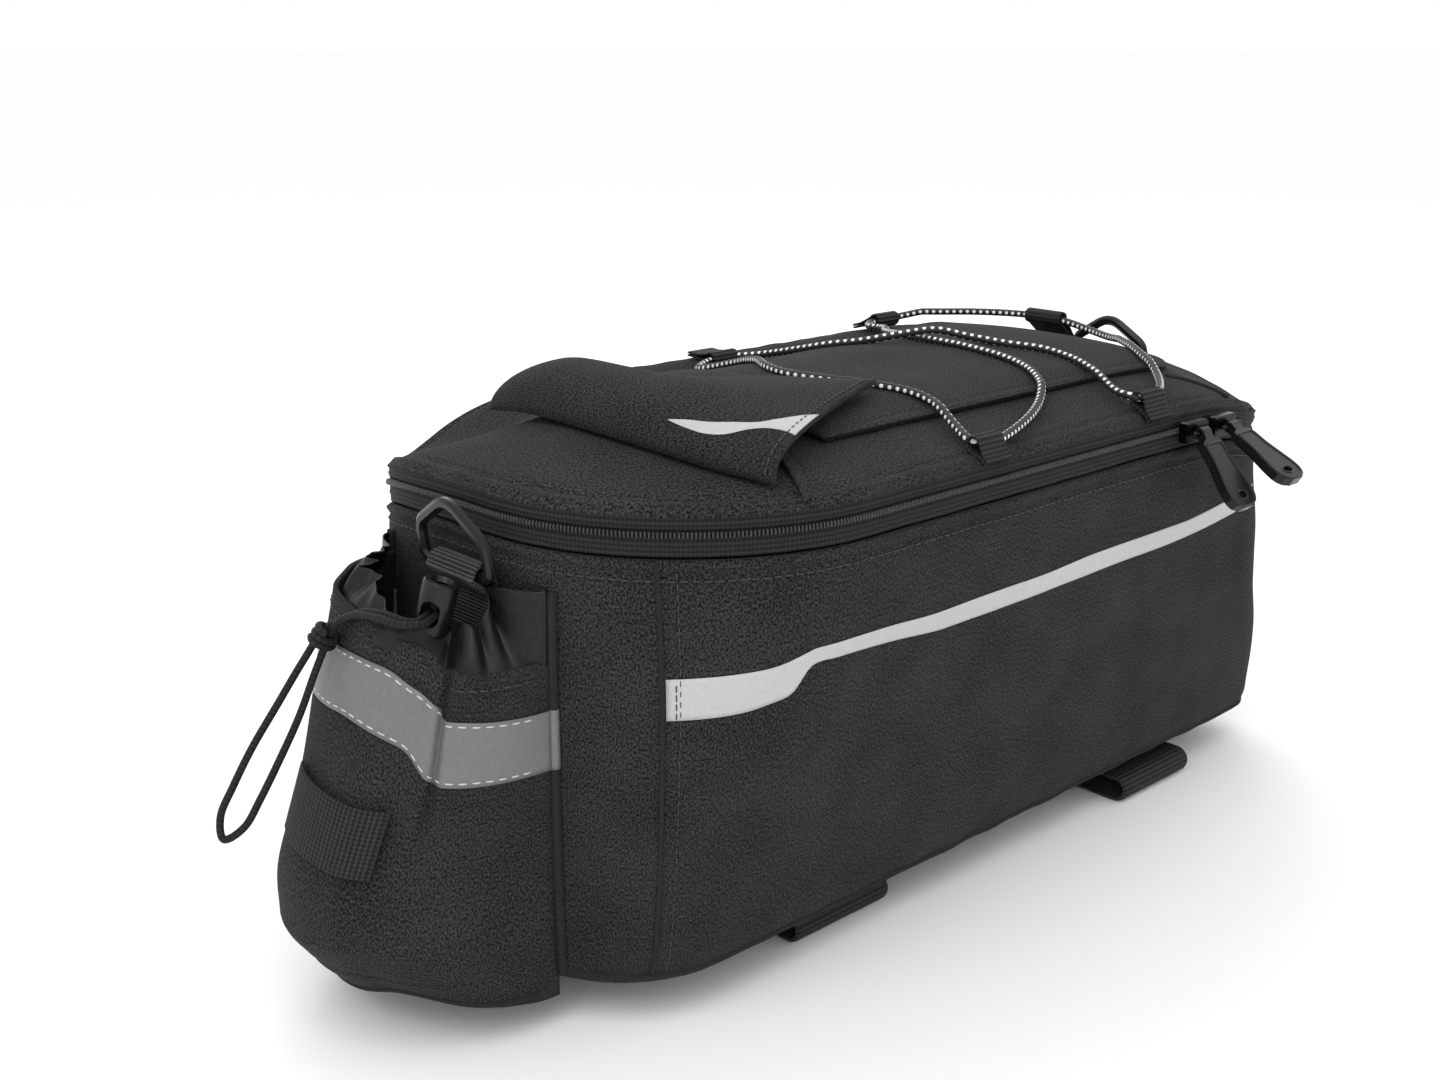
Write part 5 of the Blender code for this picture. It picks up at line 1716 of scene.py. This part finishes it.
@dataclass
class CarryRing:
    """A moulded ring with its folded webbing tab.

    Attributes:
        name: "near" or "far".
        bar: Middle of the ring's bar.
        lean: Lean of the ring in degrees about its bar.
        outward: Way out from the bag along X.
        standoff: Distance of the bar from the cloth.
        tab_offset: Offset of the tab across the bag.
        tab_lean: Lean of the tab in degrees.
    """

    name: str
    bar: tuple
    lean: float
    outward: int
    standoff: float
    tab_offset: float
    tab_lean: float
    width: float = 0.0410
    height: float = 0.0243
    rod: float = 0.0022
    tab_width: float = 0.0265
    tab_length: float = 0.022
    sheet: float = 0.0014
    rib_depth: float = 0.00026

    def build(self, builder: Builder) -> None:
        """Makes the ring and its tab.

        Args:
            builder: Makes the pieces.
        """
        half, top = self.width / 2 - self.rod, self.height - self.rod
        side = [(half, 0.0), (half, 0.56 * top), (0.16 * half, top)]
        plan = [Vector((0.0, a, b)) for a, b in side + [(-a, b) for a, b in reversed(side)]]
        place = Matrix.Translation(Vector(self.bar)) @ Matrix.Rotation(math.radians(self.lean), 4, "Y")
        path = [place @ p for p in rounded(plan, 0.0036, 6)]
        bm = sweep(path, self.rod * 0.80, 8, True, squash=1.28, up=place.to_3x3() @ ALONG)
        builder.place(f"carry_ring_{self.name}", bm, PLASTIC, body=f"{self.name}_ring",
                      replaces=[f"ring_{self.name}"], smooth_faces=False)
        self.tab(builder)

    def tab(self, builder: Builder) -> None:
        """Makes the webbing folded over the bar, with its ribs.

        Args:
            builder: Makes the pieces.
        """
        seam, back = 0.0045, 0.0004 - self.standoff
        radius = self.rod + 0.0008 + self.sheet / 2
        shape = [(back + 0.5 * self.sheet, -self.tab_length), (back + 0.5 * self.sheet, -1.6 * seam)]
        shape += [(back + 0.62 * self.sheet, -seam)]
        turns = [math.radians(a) for a in range(175, -41, -24)]
        shape += [(radius * math.cos(a), radius * math.sin(a)) for a in turns]
        shape += [(back + 1.9 * self.sheet, -radius - 0.7 * seam)]
        shape += [(back + 1.52 * self.sheet, -radius - 1.5 * seam)]
        shape += [(back + 1.5 * self.sheet, -self.tab_length)]
        along = Vector((self.outward, 0.0, 0.0))
        turn = Matrix((along, UP, along.cross(UP))).transposed().to_4x4()
        middle = Vector(self.bar) + Vector((0.0, self.tab_offset, 0.0))
        place = Matrix.Translation(middle) @ turn @ Matrix.Rotation(math.radians(self.tab_lean), 4, "Z")
        path = curve([place @ Vector((a, b, 0.0)) for a, b in shape], 44)
        bm = ribbon(path, ACROSS, self.tab_width, self.sheet * 0.9, RIBBED.pitch, self.rib_depth)
        builder.place(f"ring_tab_{self.name}_webbing", bm, RIBBED, replaces=[f"ring_tab_{self.name}"])


# Place round the pocket's front, heights of the band's upper and lower edge.
BAND_EDGES = (
    (0.000, 0.0975, 0.0770), (0.100, 0.0985, 0.0778), (0.180, 0.0995, 0.0785), (0.232, 0.0995, 0.0790),
    (0.246, 0.1030, 0.0800), (0.280, 0.1060, 0.0845), (0.315, 0.1085, 0.0895), (0.371, 0.1130, 0.0935),
    (0.437, 0.1145, 0.0960), (0.500, 0.1150, 0.0970), (1.000, 0.1150, 0.0970),
)


# Place round the pocket's front, height of the canvas, height of the nylon collar.
HEM_HEIGHTS = (
    (0.00, 0.1140, 0.1368), (0.05, 0.1140, 0.1350), (0.09, 0.1140, 0.1295), (0.13, 0.1140, 0.1255),
    (0.17, 0.1141, 0.1265), (0.21, 0.1142, 0.1235), (0.262, 0.1150, 0.1205),
    (0.29, 0.1190, 0.1230), (0.35, 0.1225, 0.1255), (0.42, 0.1255, 0.1290), (0.50, 0.1275, 0.1325),
    (0.60, 0.1290, 0.1350), (0.75, 0.1300, 0.1370), (0.90, 0.1305, 0.1370), (1.00, 0.1305, 0.1365),
)


@dataclass
class BottlePocket:
    """The canvas pocket with its band, stitches and piping, and the gathered nylon collar.

    Attributes:
        around: Points round the pocket's front.
        rows: Rows up it.
        ruffles: Gathers of the collar.
        widen: How much wider the cloth is than the plain pocket, so that it meets the piping.
        hem_fold: Distance of the hem's stitches from its upper edge.
    """

    around: int = 150
    rows: int = 110
    ruffles: int = 6
    widen: float = 1.035
    cloth: float = 0.0016
    nylon: float = 0.0006
    band_thickness: float = 0.0003
    hem_fold: float = 0.0050

    def hem(self, place: float) -> float:
        """Height of the canvas's upper edge."""
        return between(HEM_HEIGHTS, place)

    def skin(self, place: float, z: float, out: float = 0.0) -> Vector:
        """A point of the pocket's outer cloth.

        Args:
            place: Place round the front.
            z: Height.
            out: Distance outside the cloth.

        Returns:
            The point.
        """
        inside = 0.0050 * smooth((z - 0.106) / 0.034)
        fold_low = smooth((z - 0.045) / 0.03)
        fold = 0.0026 * bump_at(place, 0.262, 0.030) - 0.0034 * bump_at(place, 0.236, 0.014)
        folds = fold * fold_low
        folds += 0.0012 * bump_at(place - 0.7 * (z - 0.06), 0.36, 0.05) * bump_at(z, 0.045, 0.03)
        folds -= 0.0014 * bump_at(place + 1.1 * (z - 0.02), 0.33, 0.045) * bump_at(z, 0.022, 0.02)
        wide = ripple(place * 0.16, z * 0.8, 11.0, 0.045) * 0.0013
        wide += ripple(place * 0.16, z, 13.0, 0.018) * 0.00035
        seam = -0.0010 * bump_at(z, self.seam(place), 0.0012) * smooth((0.62 - place) / 0.1)
        edge = math.sin(math.pi * clamp(place)) ** 0.5
        lift = 0.0075 * math.exp(-((place - 0.30) / 0.15) ** 2) * clamp(1 - z / (0.35 * FORM.pocket_hem))
        point = FORM.pocket(place, z, inside - out - (folds + wide + seam) * edge)
        point.z += lift
        point.y *= self.widen
        return point

    def seam(self, place: float) -> float:
        """Height of the bottom seam before the pocket's lift."""
        return 0.0085 - 0.004 * bump_at(place, 0.3, 0.1)

    def normal(self, place: float, z: float) -> Vector:
        """The pocket's outward normal.

        Args:
            place: Place round the pocket's front.
            z: Height.

        Returns:
            The normal.
        """
        a, b = max(place - 0.01, 0.001), min(place + 0.01, 0.999)
        across = self.skin(b, z) - self.skin(a, z)
        up = self.skin(place, z + 0.001) - self.skin(place, z - 0.001)
        return up.cross(across).normalized()

    def build(self, builder: Builder) -> None:
        """Makes the pocket's pieces.

        Args:
            builder: Makes the pieces.
        """
        low = -0.055 * FORM.pocket_hem
        rows = []
        for size in (0.0, 0.3, 0.6, 0.85, 1.0):
            row = []
            for i in range(self.around + 1):
                place = i / self.around
                rim, back = self.skin(place, low), FORM.pocket(place, low)
                back.x = FORM.near_wall(max(abs(back.y) - 0.002, 0.0), 0.0) - 0.0006
                back.z = rim.z
                row.append(back.lerp(rim, size))
            rows.append(row)
        for k in range(1, self.rows + 1):
            row = []
            for i in range(self.around + 1):
                place = i / self.around
                row.append(self.skin(place, mix(low, self.hem(place), (k / self.rows) ** 0.95)))
            rows.append(row)
        bm = grid(rows)
        bm.normal_update()
        probe = bm.faces[:][(self.rows // 2) * self.around + self.around // 2]
        if probe.normal.x > 0:
            bmesh.ops.reverse_faces(bm, faces=bm.faces[:])
        thicken(bm, self.cloth)
        builder.place("pocket_canvas", bm, CANVAS, replaces=["bottle_pocket"])
        self.band(builder)
        self.collar(builder)
        self.edges(builder)

    def band(self, builder: Builder) -> None:
        """Makes the reflective band and its two rows of pale stitches.

        Args:
            builder: Makes the pieces.
        """
        rows = surface(220, 12, self.band_point)
        builder.place("pocket_band", thicken(grid(rows), self.band_thickness), BAND)
        for side, name in ((-1, "near"), (1, "far")):
            low, high = (between(BAND_EDGES, 0.5 + 0.5 * side, k) for k in (2, 1))
            path = [self.edge(side, mix(low, high, k / 12)) for k in range(13)]
            builder.place(f"band_wrap_{name}", sweep(path, 0.0019, 12), BAND)
        for column, inset, name in ((1, -0.0014, "upper"), (2, 0.0014, "lower")):
            for low, high, part in ((0.03, 0.236, "near"), (0.242, 0.97, "front")):
                places = []
                for place in [mix(low, high, k / 150) for k in range(151)]:
                    z = between(BAND_EDGES, place, column) + inset
                    places.append((self.skin(place, z, 0.00045), self.normal(place, z)))
                builder.sew(f"band_stitches_{name}_{part}", places, BAND_STITCH, PALE_THREAD)

    def band_point(self, around: float, up: float) -> Vector:
        """A point of the band's face.

        Args:
            around: Share of the way round the pocket.
            up: Share of the band's height.

        Returns:
            The point.
        """
        place = mix(0.001, 0.999, around)
        z = mix(between(BAND_EDGES, place, 2), between(BAND_EDGES, place, 1), up)
        return self.skin(place, z, 0.0004)

    def edge(self, side: int, z: float) -> Vector:
        """A point of the piping's middle line beside the pocket."""
        y = side * (0.0478 - 0.0010 * (z / 0.1365))
        return Vector((FORM.near_wall(abs(y), z) - 0.0008, y, z))

    def edges(self, builder: Builder) -> None:
        """Makes the piping beside the pocket, the hem stitches and the bottom seam's roll.

        Args:
            builder: Makes the pieces.
        """
        for side, name in ((-1, "near"), (1, "far")):
            path = [self.edge(side, mix(0.002, 0.1365, k / 60)) for k in range(61)]
            builder.place(f"pocket_piping_{name}", sweep(path, 0.0017, 10), CANVAS)
        places = []
        for k in range(141):
            place = mix(0.03, 0.97, k / 140)
            z = self.hem(place) - self.hem_fold
            places.append((self.skin(place, z, 0.0001), self.normal(place, z)))
        builder.sew("hem_stitches", places, TOPSTITCH)
        path = [self.skin(mix(0.03, 0.97, k / 100), -0.0025, -0.0002) for k in range(101)]
        builder.place("pocket_base_seam", sweep(path, 0.0011, 8), CANVAS)

    def collar(self, builder: Builder) -> None:
        """Makes the gathered nylon collar inside the hem.

        Args:
            builder: Makes the pieces.
        """
        around, levels = 320, 30
        rows = []
        for k in range(levels + 1):
            row = []
            for i in range(around + 1):
                place = i / around
                rise = k / levels
                ragged = ripple(place * 0.16, 3.0, 1.0, 0.016) * 0.0015
                z = mix(self.hem(place) - self.hem_fold, between(HEM_HEIGHTS, place, 2) + ragged, rise)
                drift = 1.1 * math.sin(8.0 * place + 1.0) + 0.8 * math.sin(17.0 * place)
                wave = math.sin(2 * math.pi * self.ruffles * place + drift + 1.6 * rise)
                small = math.sin(2 * math.pi * 2.7 * self.ruffles * place + 2.0 * drift - rise)
                inside = 0.0030 + 0.0050 * smooth((z - 0.106) / 0.034) + 0.0055 * rise ** 1.6
                inside += (0.0024 * (1 - wave) + 0.0006 * small) * min(1.6 * rise, 1.0)
                inside += ripple(place * 0.3, z, 2.0, 0.010) * 0.0008 * rise
                inside += 0.0030 * rise * (bump_at(place, 0.050, 0.016) + bump_at(place, 0.115, 0.018))
                inside *= 1 - 0.55 * bump_at(place, 0.40, 0.07)
                inside = mix(0.0010, inside, smooth(min(place, 1 - place) / 0.04))
                point = FORM.pocket(place, z, inside)
                point.y *= self.widen
                row.append(point)
            rows.append(row)
        bm = thicken(grid(rows), self.nylon)
        collar = builder.place("pocket_collar_nylon", bm, NYLON, replaces=["pocket_collar"])


@dataclass
class LightTab:
    """The webbing tab on the pocket's front, folded at its near end and standing off the cloth."""

    pocket: BottlePocket = field(default_factory=BottlePocket)
    low: float = 0.0535
    high: float = 0.0760
    place: float = 0.46
    spread: float = 0.145

    def build(self, builder: Builder) -> None:
        """Makes the tab.

        Args:
            builder: Makes the pieces.
        """
        path, across = [], []
        for k in range(41):
            share = k / 40
            where = self.place + self.spread * (1 - 2 * share)
            stand = 0.0010 + 0.0024 * math.sin(math.pi * min(share * 0.62, 1.0)) ** 0.7
            slant = mix(0.0, -0.004, share)
            top = self.pocket.skin(where, self.high + slant + 0.001, stand)
            bottom = self.pocket.skin(where, self.low + slant, stand)
            path.append((top + bottom) / 2)
            across.append((top - bottom).normalized())
        end, way = path[-1], (path[-1] - path[-3]).normalized()
        inward = way.cross(across[-1]).normalized()
        if inward.x < 0:
            inward = -inward
        for k in range(1, 7):
            angle = math.radians(30 * k)
            path.append(end + way * 0.0008 * math.sin(angle) + inward * 0.0008 * (1 - math.cos(angle)))
            across.append(across[40])
        path.append(end - way * 0.005 + inward * 0.0018)
        across.append(across[40])
        bm = ribbon(path, across, self.high - self.low, 0.0013, 0.0019, 0.00006)
        builder.place("light_tab_webbing", bm, WEBBING, replaces=["light_tab"])


# Draw cord: the middle of its two strands from the lock to the bend, and half the gap between them.
DRAW_ROUTE = (
    (-0.0199, -0.0168, 0.1282, 0.00145), (-0.0250, -0.0206, 0.1280, 0.00145),
    (-0.0300, -0.0236, 0.1284, 0.0016), (-0.0348, -0.0215, 0.1290, 0.0018),
    (-0.0376, -0.0145, 0.1300, 0.0018), (-0.0395, -0.0050, 0.1290, 0.0018),
    (-0.0415, 0.0030, 0.1255, 0.0018), (-0.0450, 0.0090, 0.1190, 0.0016),
    (-0.0505, 0.0110, 0.1095, 0.0026), (-0.0590, 0.0110, 0.0965, 0.0040),
    (-0.0680, 0.0110, 0.0840, 0.0048), (-0.0755, 0.0110, 0.0730, 0.0048),
    (-0.0810, 0.0110, 0.0650, 0.0042),
)


@dataclass
class DrawCord:
    """The collar's draw cord: two strands out of the cord lock, a knot, and the hanging bend."""

    radius: float = 0.00125
    bend: float = 0.0062
    knot_at: int = 7

    def path(self) -> list[Vector]:
        """The cord's middle line in the modelling frame.

        Returns:
            Its points.
        """
        centres = [Vector(p[:3]) for p in DRAW_ROUTE]
        side = Vector((0.12, 0.42, 0.90)).normalized()
        first, second = [], []
        for i, centre in enumerate(centres):
            ahead = (centres[min(i + 1, len(centres) - 1)] - centres[max(i - 1, 0)]).normalized()
            across = ahead.cross(side.cross(ahead)).normalized()
            if i < self.knot_at:
                across = ahead.cross(UP).normalized()
            first.append(centre + across * DRAW_ROUTE[i][3])
            second.append(centre - across * DRAW_ROUTE[i][3])
        ahead = (centres[-1] - centres[-2]).normalized()
        return curve(first + [centres[-1] + ahead * self.bend] + second[::-1], 8)

    def build(self, builder: Builder) -> None:
        """Args:
            builder: Makes the pieces.
        """
        path = self.path()
        cord = builder.place("draw_cord_braid", sweep(path, self.radius, 12), BRAID, replaces=["draw_cord"])
        centre = Vector(DRAW_ROUTE[self.knot_at][:3])
        after, before = (Vector(DRAW_ROUTE[self.knot_at + k][:3]) for k in (1, -1))
        along = (after - before).normalized()
        turn = Matrix.Translation(centre) @ along.to_track_quat("Z", "Y").to_matrix().to_4x4()
        wraps = []
        for k in range(73):
            angle = 2 * math.pi * 2.25 * k / 72
            size = 0.0040 + 0.0005 * math.sin(2 * angle)
            rise = mix(-0.0024, 0.0026, k / 72)
            wraps.append(turn @ Vector((size * math.cos(angle), 0.0036 * math.sin(angle), rise)))
        knot = builder.place("draw_cord_knot", sweep(wraps, self.radius, 10), BRAID, replaces=["cord_knot"])


@dataclass
class CordLock:
    """The spring cord lock: a barrel with a slot through it, and the button below."""

    radius: float = 0.0062
    length: float = 0.0178
    travel: float = 0.0034
    bore: float = 0.0047
    slot_width: float = 4 * DrawCord.radius + 0.0014

    def matrix(self) -> Matrix:
        """Local Z up the barrel, local X along the way its slot runs.

        Returns:
            The matrix.
        """
        up = -Vector((-0.0052, 0.0048, -0.0257)).normalized()
        out = Vector((-0.80, -0.60, 0.0))
        side = up.cross(out).normalized()
        out = side.cross(up)
        return Matrix.Translation((-0.0178, -0.0186, 0.1385)) @ Matrix((out, side, up)).transposed().to_4x4()

    def slot(self, centre: float, height: float, width: float) -> bpy.types.Object:
        """The cutter of a round-ended slot along local X.

        Args:
            centre: Height of its middle.
            height: Height of the slot.
            width: Width of the slot.

        Returns:
            The cutter.
        """
        bm = bmesh.new()
        rows = []
        for x in (-0.012, 0.012):
            row = []
            for k in range(32):
                angle = 2 * math.pi * k / 32
                reach = (height - width) / 2 * (1 if math.sin(angle) > 0 else -1)
                z = centre + reach + width / 2 * math.sin(angle)
                row.append(Vector((x, width / 2 * math.cos(angle), z)))
            rows.append(row)
        grid(rows, closed=True, cap=True, bm=bm)
        bmesh.ops.recalc_face_normals(bm, faces=bm.faces[:])
        mesh = mesh_from("cutter", bm)
        mesh.transform(self.matrix())
        return link("cutter", mesh)

    def cut(self, bm: bmesh.types.BMesh, cutter: bpy.types.Object) -> bmesh.types.BMesh:
        """Cuts the slot out of a piece.

        Args:
            bm: The piece.
            cutter: The slot's cutter.

        Returns:
            The cut piece.
        """
        blank = link("blank", mesh_from("blank", bm))
        change = blank.modifiers.new("slot", "BOOLEAN")
        change.operation = "DIFFERENCE"
        change.solver = "EXACT"
        change.object = cutter
        bpy.context.view_layer.update()
        done = bpy.data.meshes.new_from_object(blank.evaluated_get(bpy.context.evaluated_depsgraph_get()))
        result = bmesh.new()
        result.from_mesh(done)
        bpy.data.objects.remove(blank)
        bpy.data.objects.remove(cutter)
        return result

    def build(self, builder: Builder) -> None:
        """Makes the barrel and the button.

        Args:
            builder: Makes the pieces.
        """
        r, end, m = self.radius, -self.length, self.matrix()
        middle = -0.58 * self.length
        bore = self.bore
        outer = [(bore, end), (r - 0.0005, end), (r, end + 0.0005), (r, end + 0.0030),
                 (r * 0.97, end + 0.0034), (r * 0.97, -0.0016), (r * 0.93, -0.0007), (r * 0.84, -0.0002),
                 (r * 0.6, 0.0)]
        inner = [(bore * 0.6, -0.0016), (bore, -0.0020), (bore, end + 0.0001)]
        barrel = lathe(outer + inner, 56, m)
        barrel = self.cut(barrel, self.slot(middle, 0.0090, self.slot_width))
        builder.place("cord_lock_barrel", barrel, PLASTIC, replaces=["lock_barrel"], smooth_angle=32.0)
        top = -0.0020 - self.travel
        cap = end - self.travel - 0.0006
        plunger = [(0.0030, top), (0.0042, top - 0.0005), (0.0042, cap), (0.0053, cap),
                   (0.0057, cap - 0.0005), (0.0057, cap - 0.0034), (0.0050, cap - 0.0042),
                   (0.0030, cap - 0.0042)]
        button = lathe(plunger, 48, m)
        high = top - 0.0008
        low = middle - 0.0045 - self.travel - 0.00035
        button = self.cut(button, self.slot((high + low) / 2, high - low, self.slot_width))
        builder.place("cord_lock_button", button, PLASTIC, body="button", replaces=["lock_button"],
                      smooth_angle=32.0)


@dataclass
class BaseStraps:
    """The wide webbing loops under the base. Each row of the table: name, place along the bag, span."""

    straps: tuple = (("base_strap_near", 0.1200, 0.136), ("base_strap_far", 0.3085, 0.163))
    width: float = 0.050
    drop: float = 0.0115
    thickness: float = 0.0020
    rib_pitch: float = 0.0018
    rib_depth: float = 0.00006

    def build(self, builder: Builder) -> None:
        """Makes the loops.

        Args:
            builder: Makes the pieces.
        """
        for name, x, span in self.straps:
            radius = (self.drop - self.thickness) / 2
            reach = span / 2 - self.drop / 2
            middle = -FORM.base_sag - FORM.gap - self.drop / 2
            path = []
            for side, start in ((1, -90), (-1, 90)):
                for k in range(13):
                    angle = math.radians(start + 180 * k / 12)
                    y = side * reach + radius * math.cos(angle)
                    path.append(Vector((x, y, middle + radius * math.sin(angle))))
                for k in range(1, 30):
                    y = mix(side * reach, -side * reach, k / 30)
                    path.append(Vector((x, y, middle + side * radius)))
            bm = ribbon(path, ALONG, self.width, self.thickness, self.rib_pitch, self.rib_depth, closed=True)
            builder.place(name + "_webbing", bm, WEBBING, replaces=[name])


# Scene


LENS = 40.93
SENSOR_WIDTH = 36.0
CAMERA_PLACE = (-0.2864, -0.4398, 0.3009)
CAMERA_PITCH = 0.2944
CAMERA_TURN = 0.8262
FLOOR_SIZE = 60.0
FLOOR_DROP = 0.0003
LOOK_AT = (0.0, 0.0, 0.1)
# Name, place, size and power of each light.
LIGHTS = (
    ("key", (-0.9, -0.5, 1.5), 1.2, 9.0),
    ("fill", (-0.6, -1.8, 0.7), 1.6, 3.0),
    ("back", (0.9, 1.2, 1.3), 1.4, 7.0),
)


def add_camera(shift: Vector) -> None:
    """Sets the camera at the photograph's angle.

    Args:
        shift: Move from the modelling frame to the shared frame.
    """
    data = bpy.data.cameras.new("camera")
    data.lens = LENS
    data.sensor_width = SENSOR_WIDTH
    camera = link("camera", data)
    camera.location = Vector(CAMERA_PLACE) + shift
    camera.rotation_euler = (math.pi / 2 - CAMERA_PITCH, 0.0, CAMERA_TURN - math.pi / 2)
    bpy.context.scene.camera = camera


def add_stage() -> None:
    """Adds the pale floor, the soft lights and the world."""
    bm = bmesh.new()
    bmesh.ops.create_grid(bm, x_segments=1, y_segments=1, size=FLOOR_SIZE)
    floor = link("floor", mesh_from("floor", bm))
    floor.location.z = -FLOOR_DROP
    pale = bpy.data.materials.new("floor")
    pale.use_nodes = True
    shader = pale.node_tree.nodes["Principled BSDF"]
    shader.inputs["Base Color"].default_value = (0.98, 0.98, 0.98, 1.0)
    shader.inputs["Roughness"].default_value = 0.9
    floor.data.materials.append(pale)
    world = bpy.data.worlds.new("world")
    bpy.context.scene.world = world
    world.use_nodes = True
    world.node_tree.nodes["Background"].inputs["Color"].default_value = (1.0, 1.0, 1.0, 1.0)
    world.node_tree.nodes["Background"].inputs["Strength"].default_value = 1.0
    bpy.context.scene.view_settings.view_transform = "Standard"
    for name, place, size, power in LIGHTS:
        data = bpy.data.lights.new(name, "AREA")
        data.size = size
        data.energy = power
        lamp = link(name, data)
        lamp.location = place
        lamp.rotation_euler = (Vector(LOOK_AT) - Vector(place)).to_track_quat("-Z", "Y").to_euler()


def frame_shift() -> Vector:
    """Works out the move from the modelling frame to the shared frame, from the boxes of two nodes."""
    low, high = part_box("zip_tape")
    return Vector((low.x - 0.0006, (low.y + high.y) / 2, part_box("base_strap_near")[0].z + 0.0169))


def main() -> None:
    """Builds the bag on the shared frame."""
    logging.basicConfig(level=logging.INFO, format="%(message)s")
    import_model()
    shift = frame_shift()
    add_camera(shift)
    builder = Builder(shift)
    near_ring = CarryRing("near", (-0.0068, -0.0110, 0.1386), -7.7, -1, 0.0068, -0.0015, 0.0)
    far_ring = CarryRing("far", (0.3612, -0.0060, 0.1560), -5.0, 1, 0.0047, 0.0, 13.5)
    parts = (DrawCord(), BagBody(), SideStripe(), Closure(), Lid(), Flap(), CordNet(), near_ring, far_ring,
             BottlePocket(), LightTab(), CordLock(), BaseStraps())
    for part in parts:
        LOG.info("building %s", type(part).__name__)
        part.build(builder)
    add_stage()


if __name__ == "__main__":
    main()
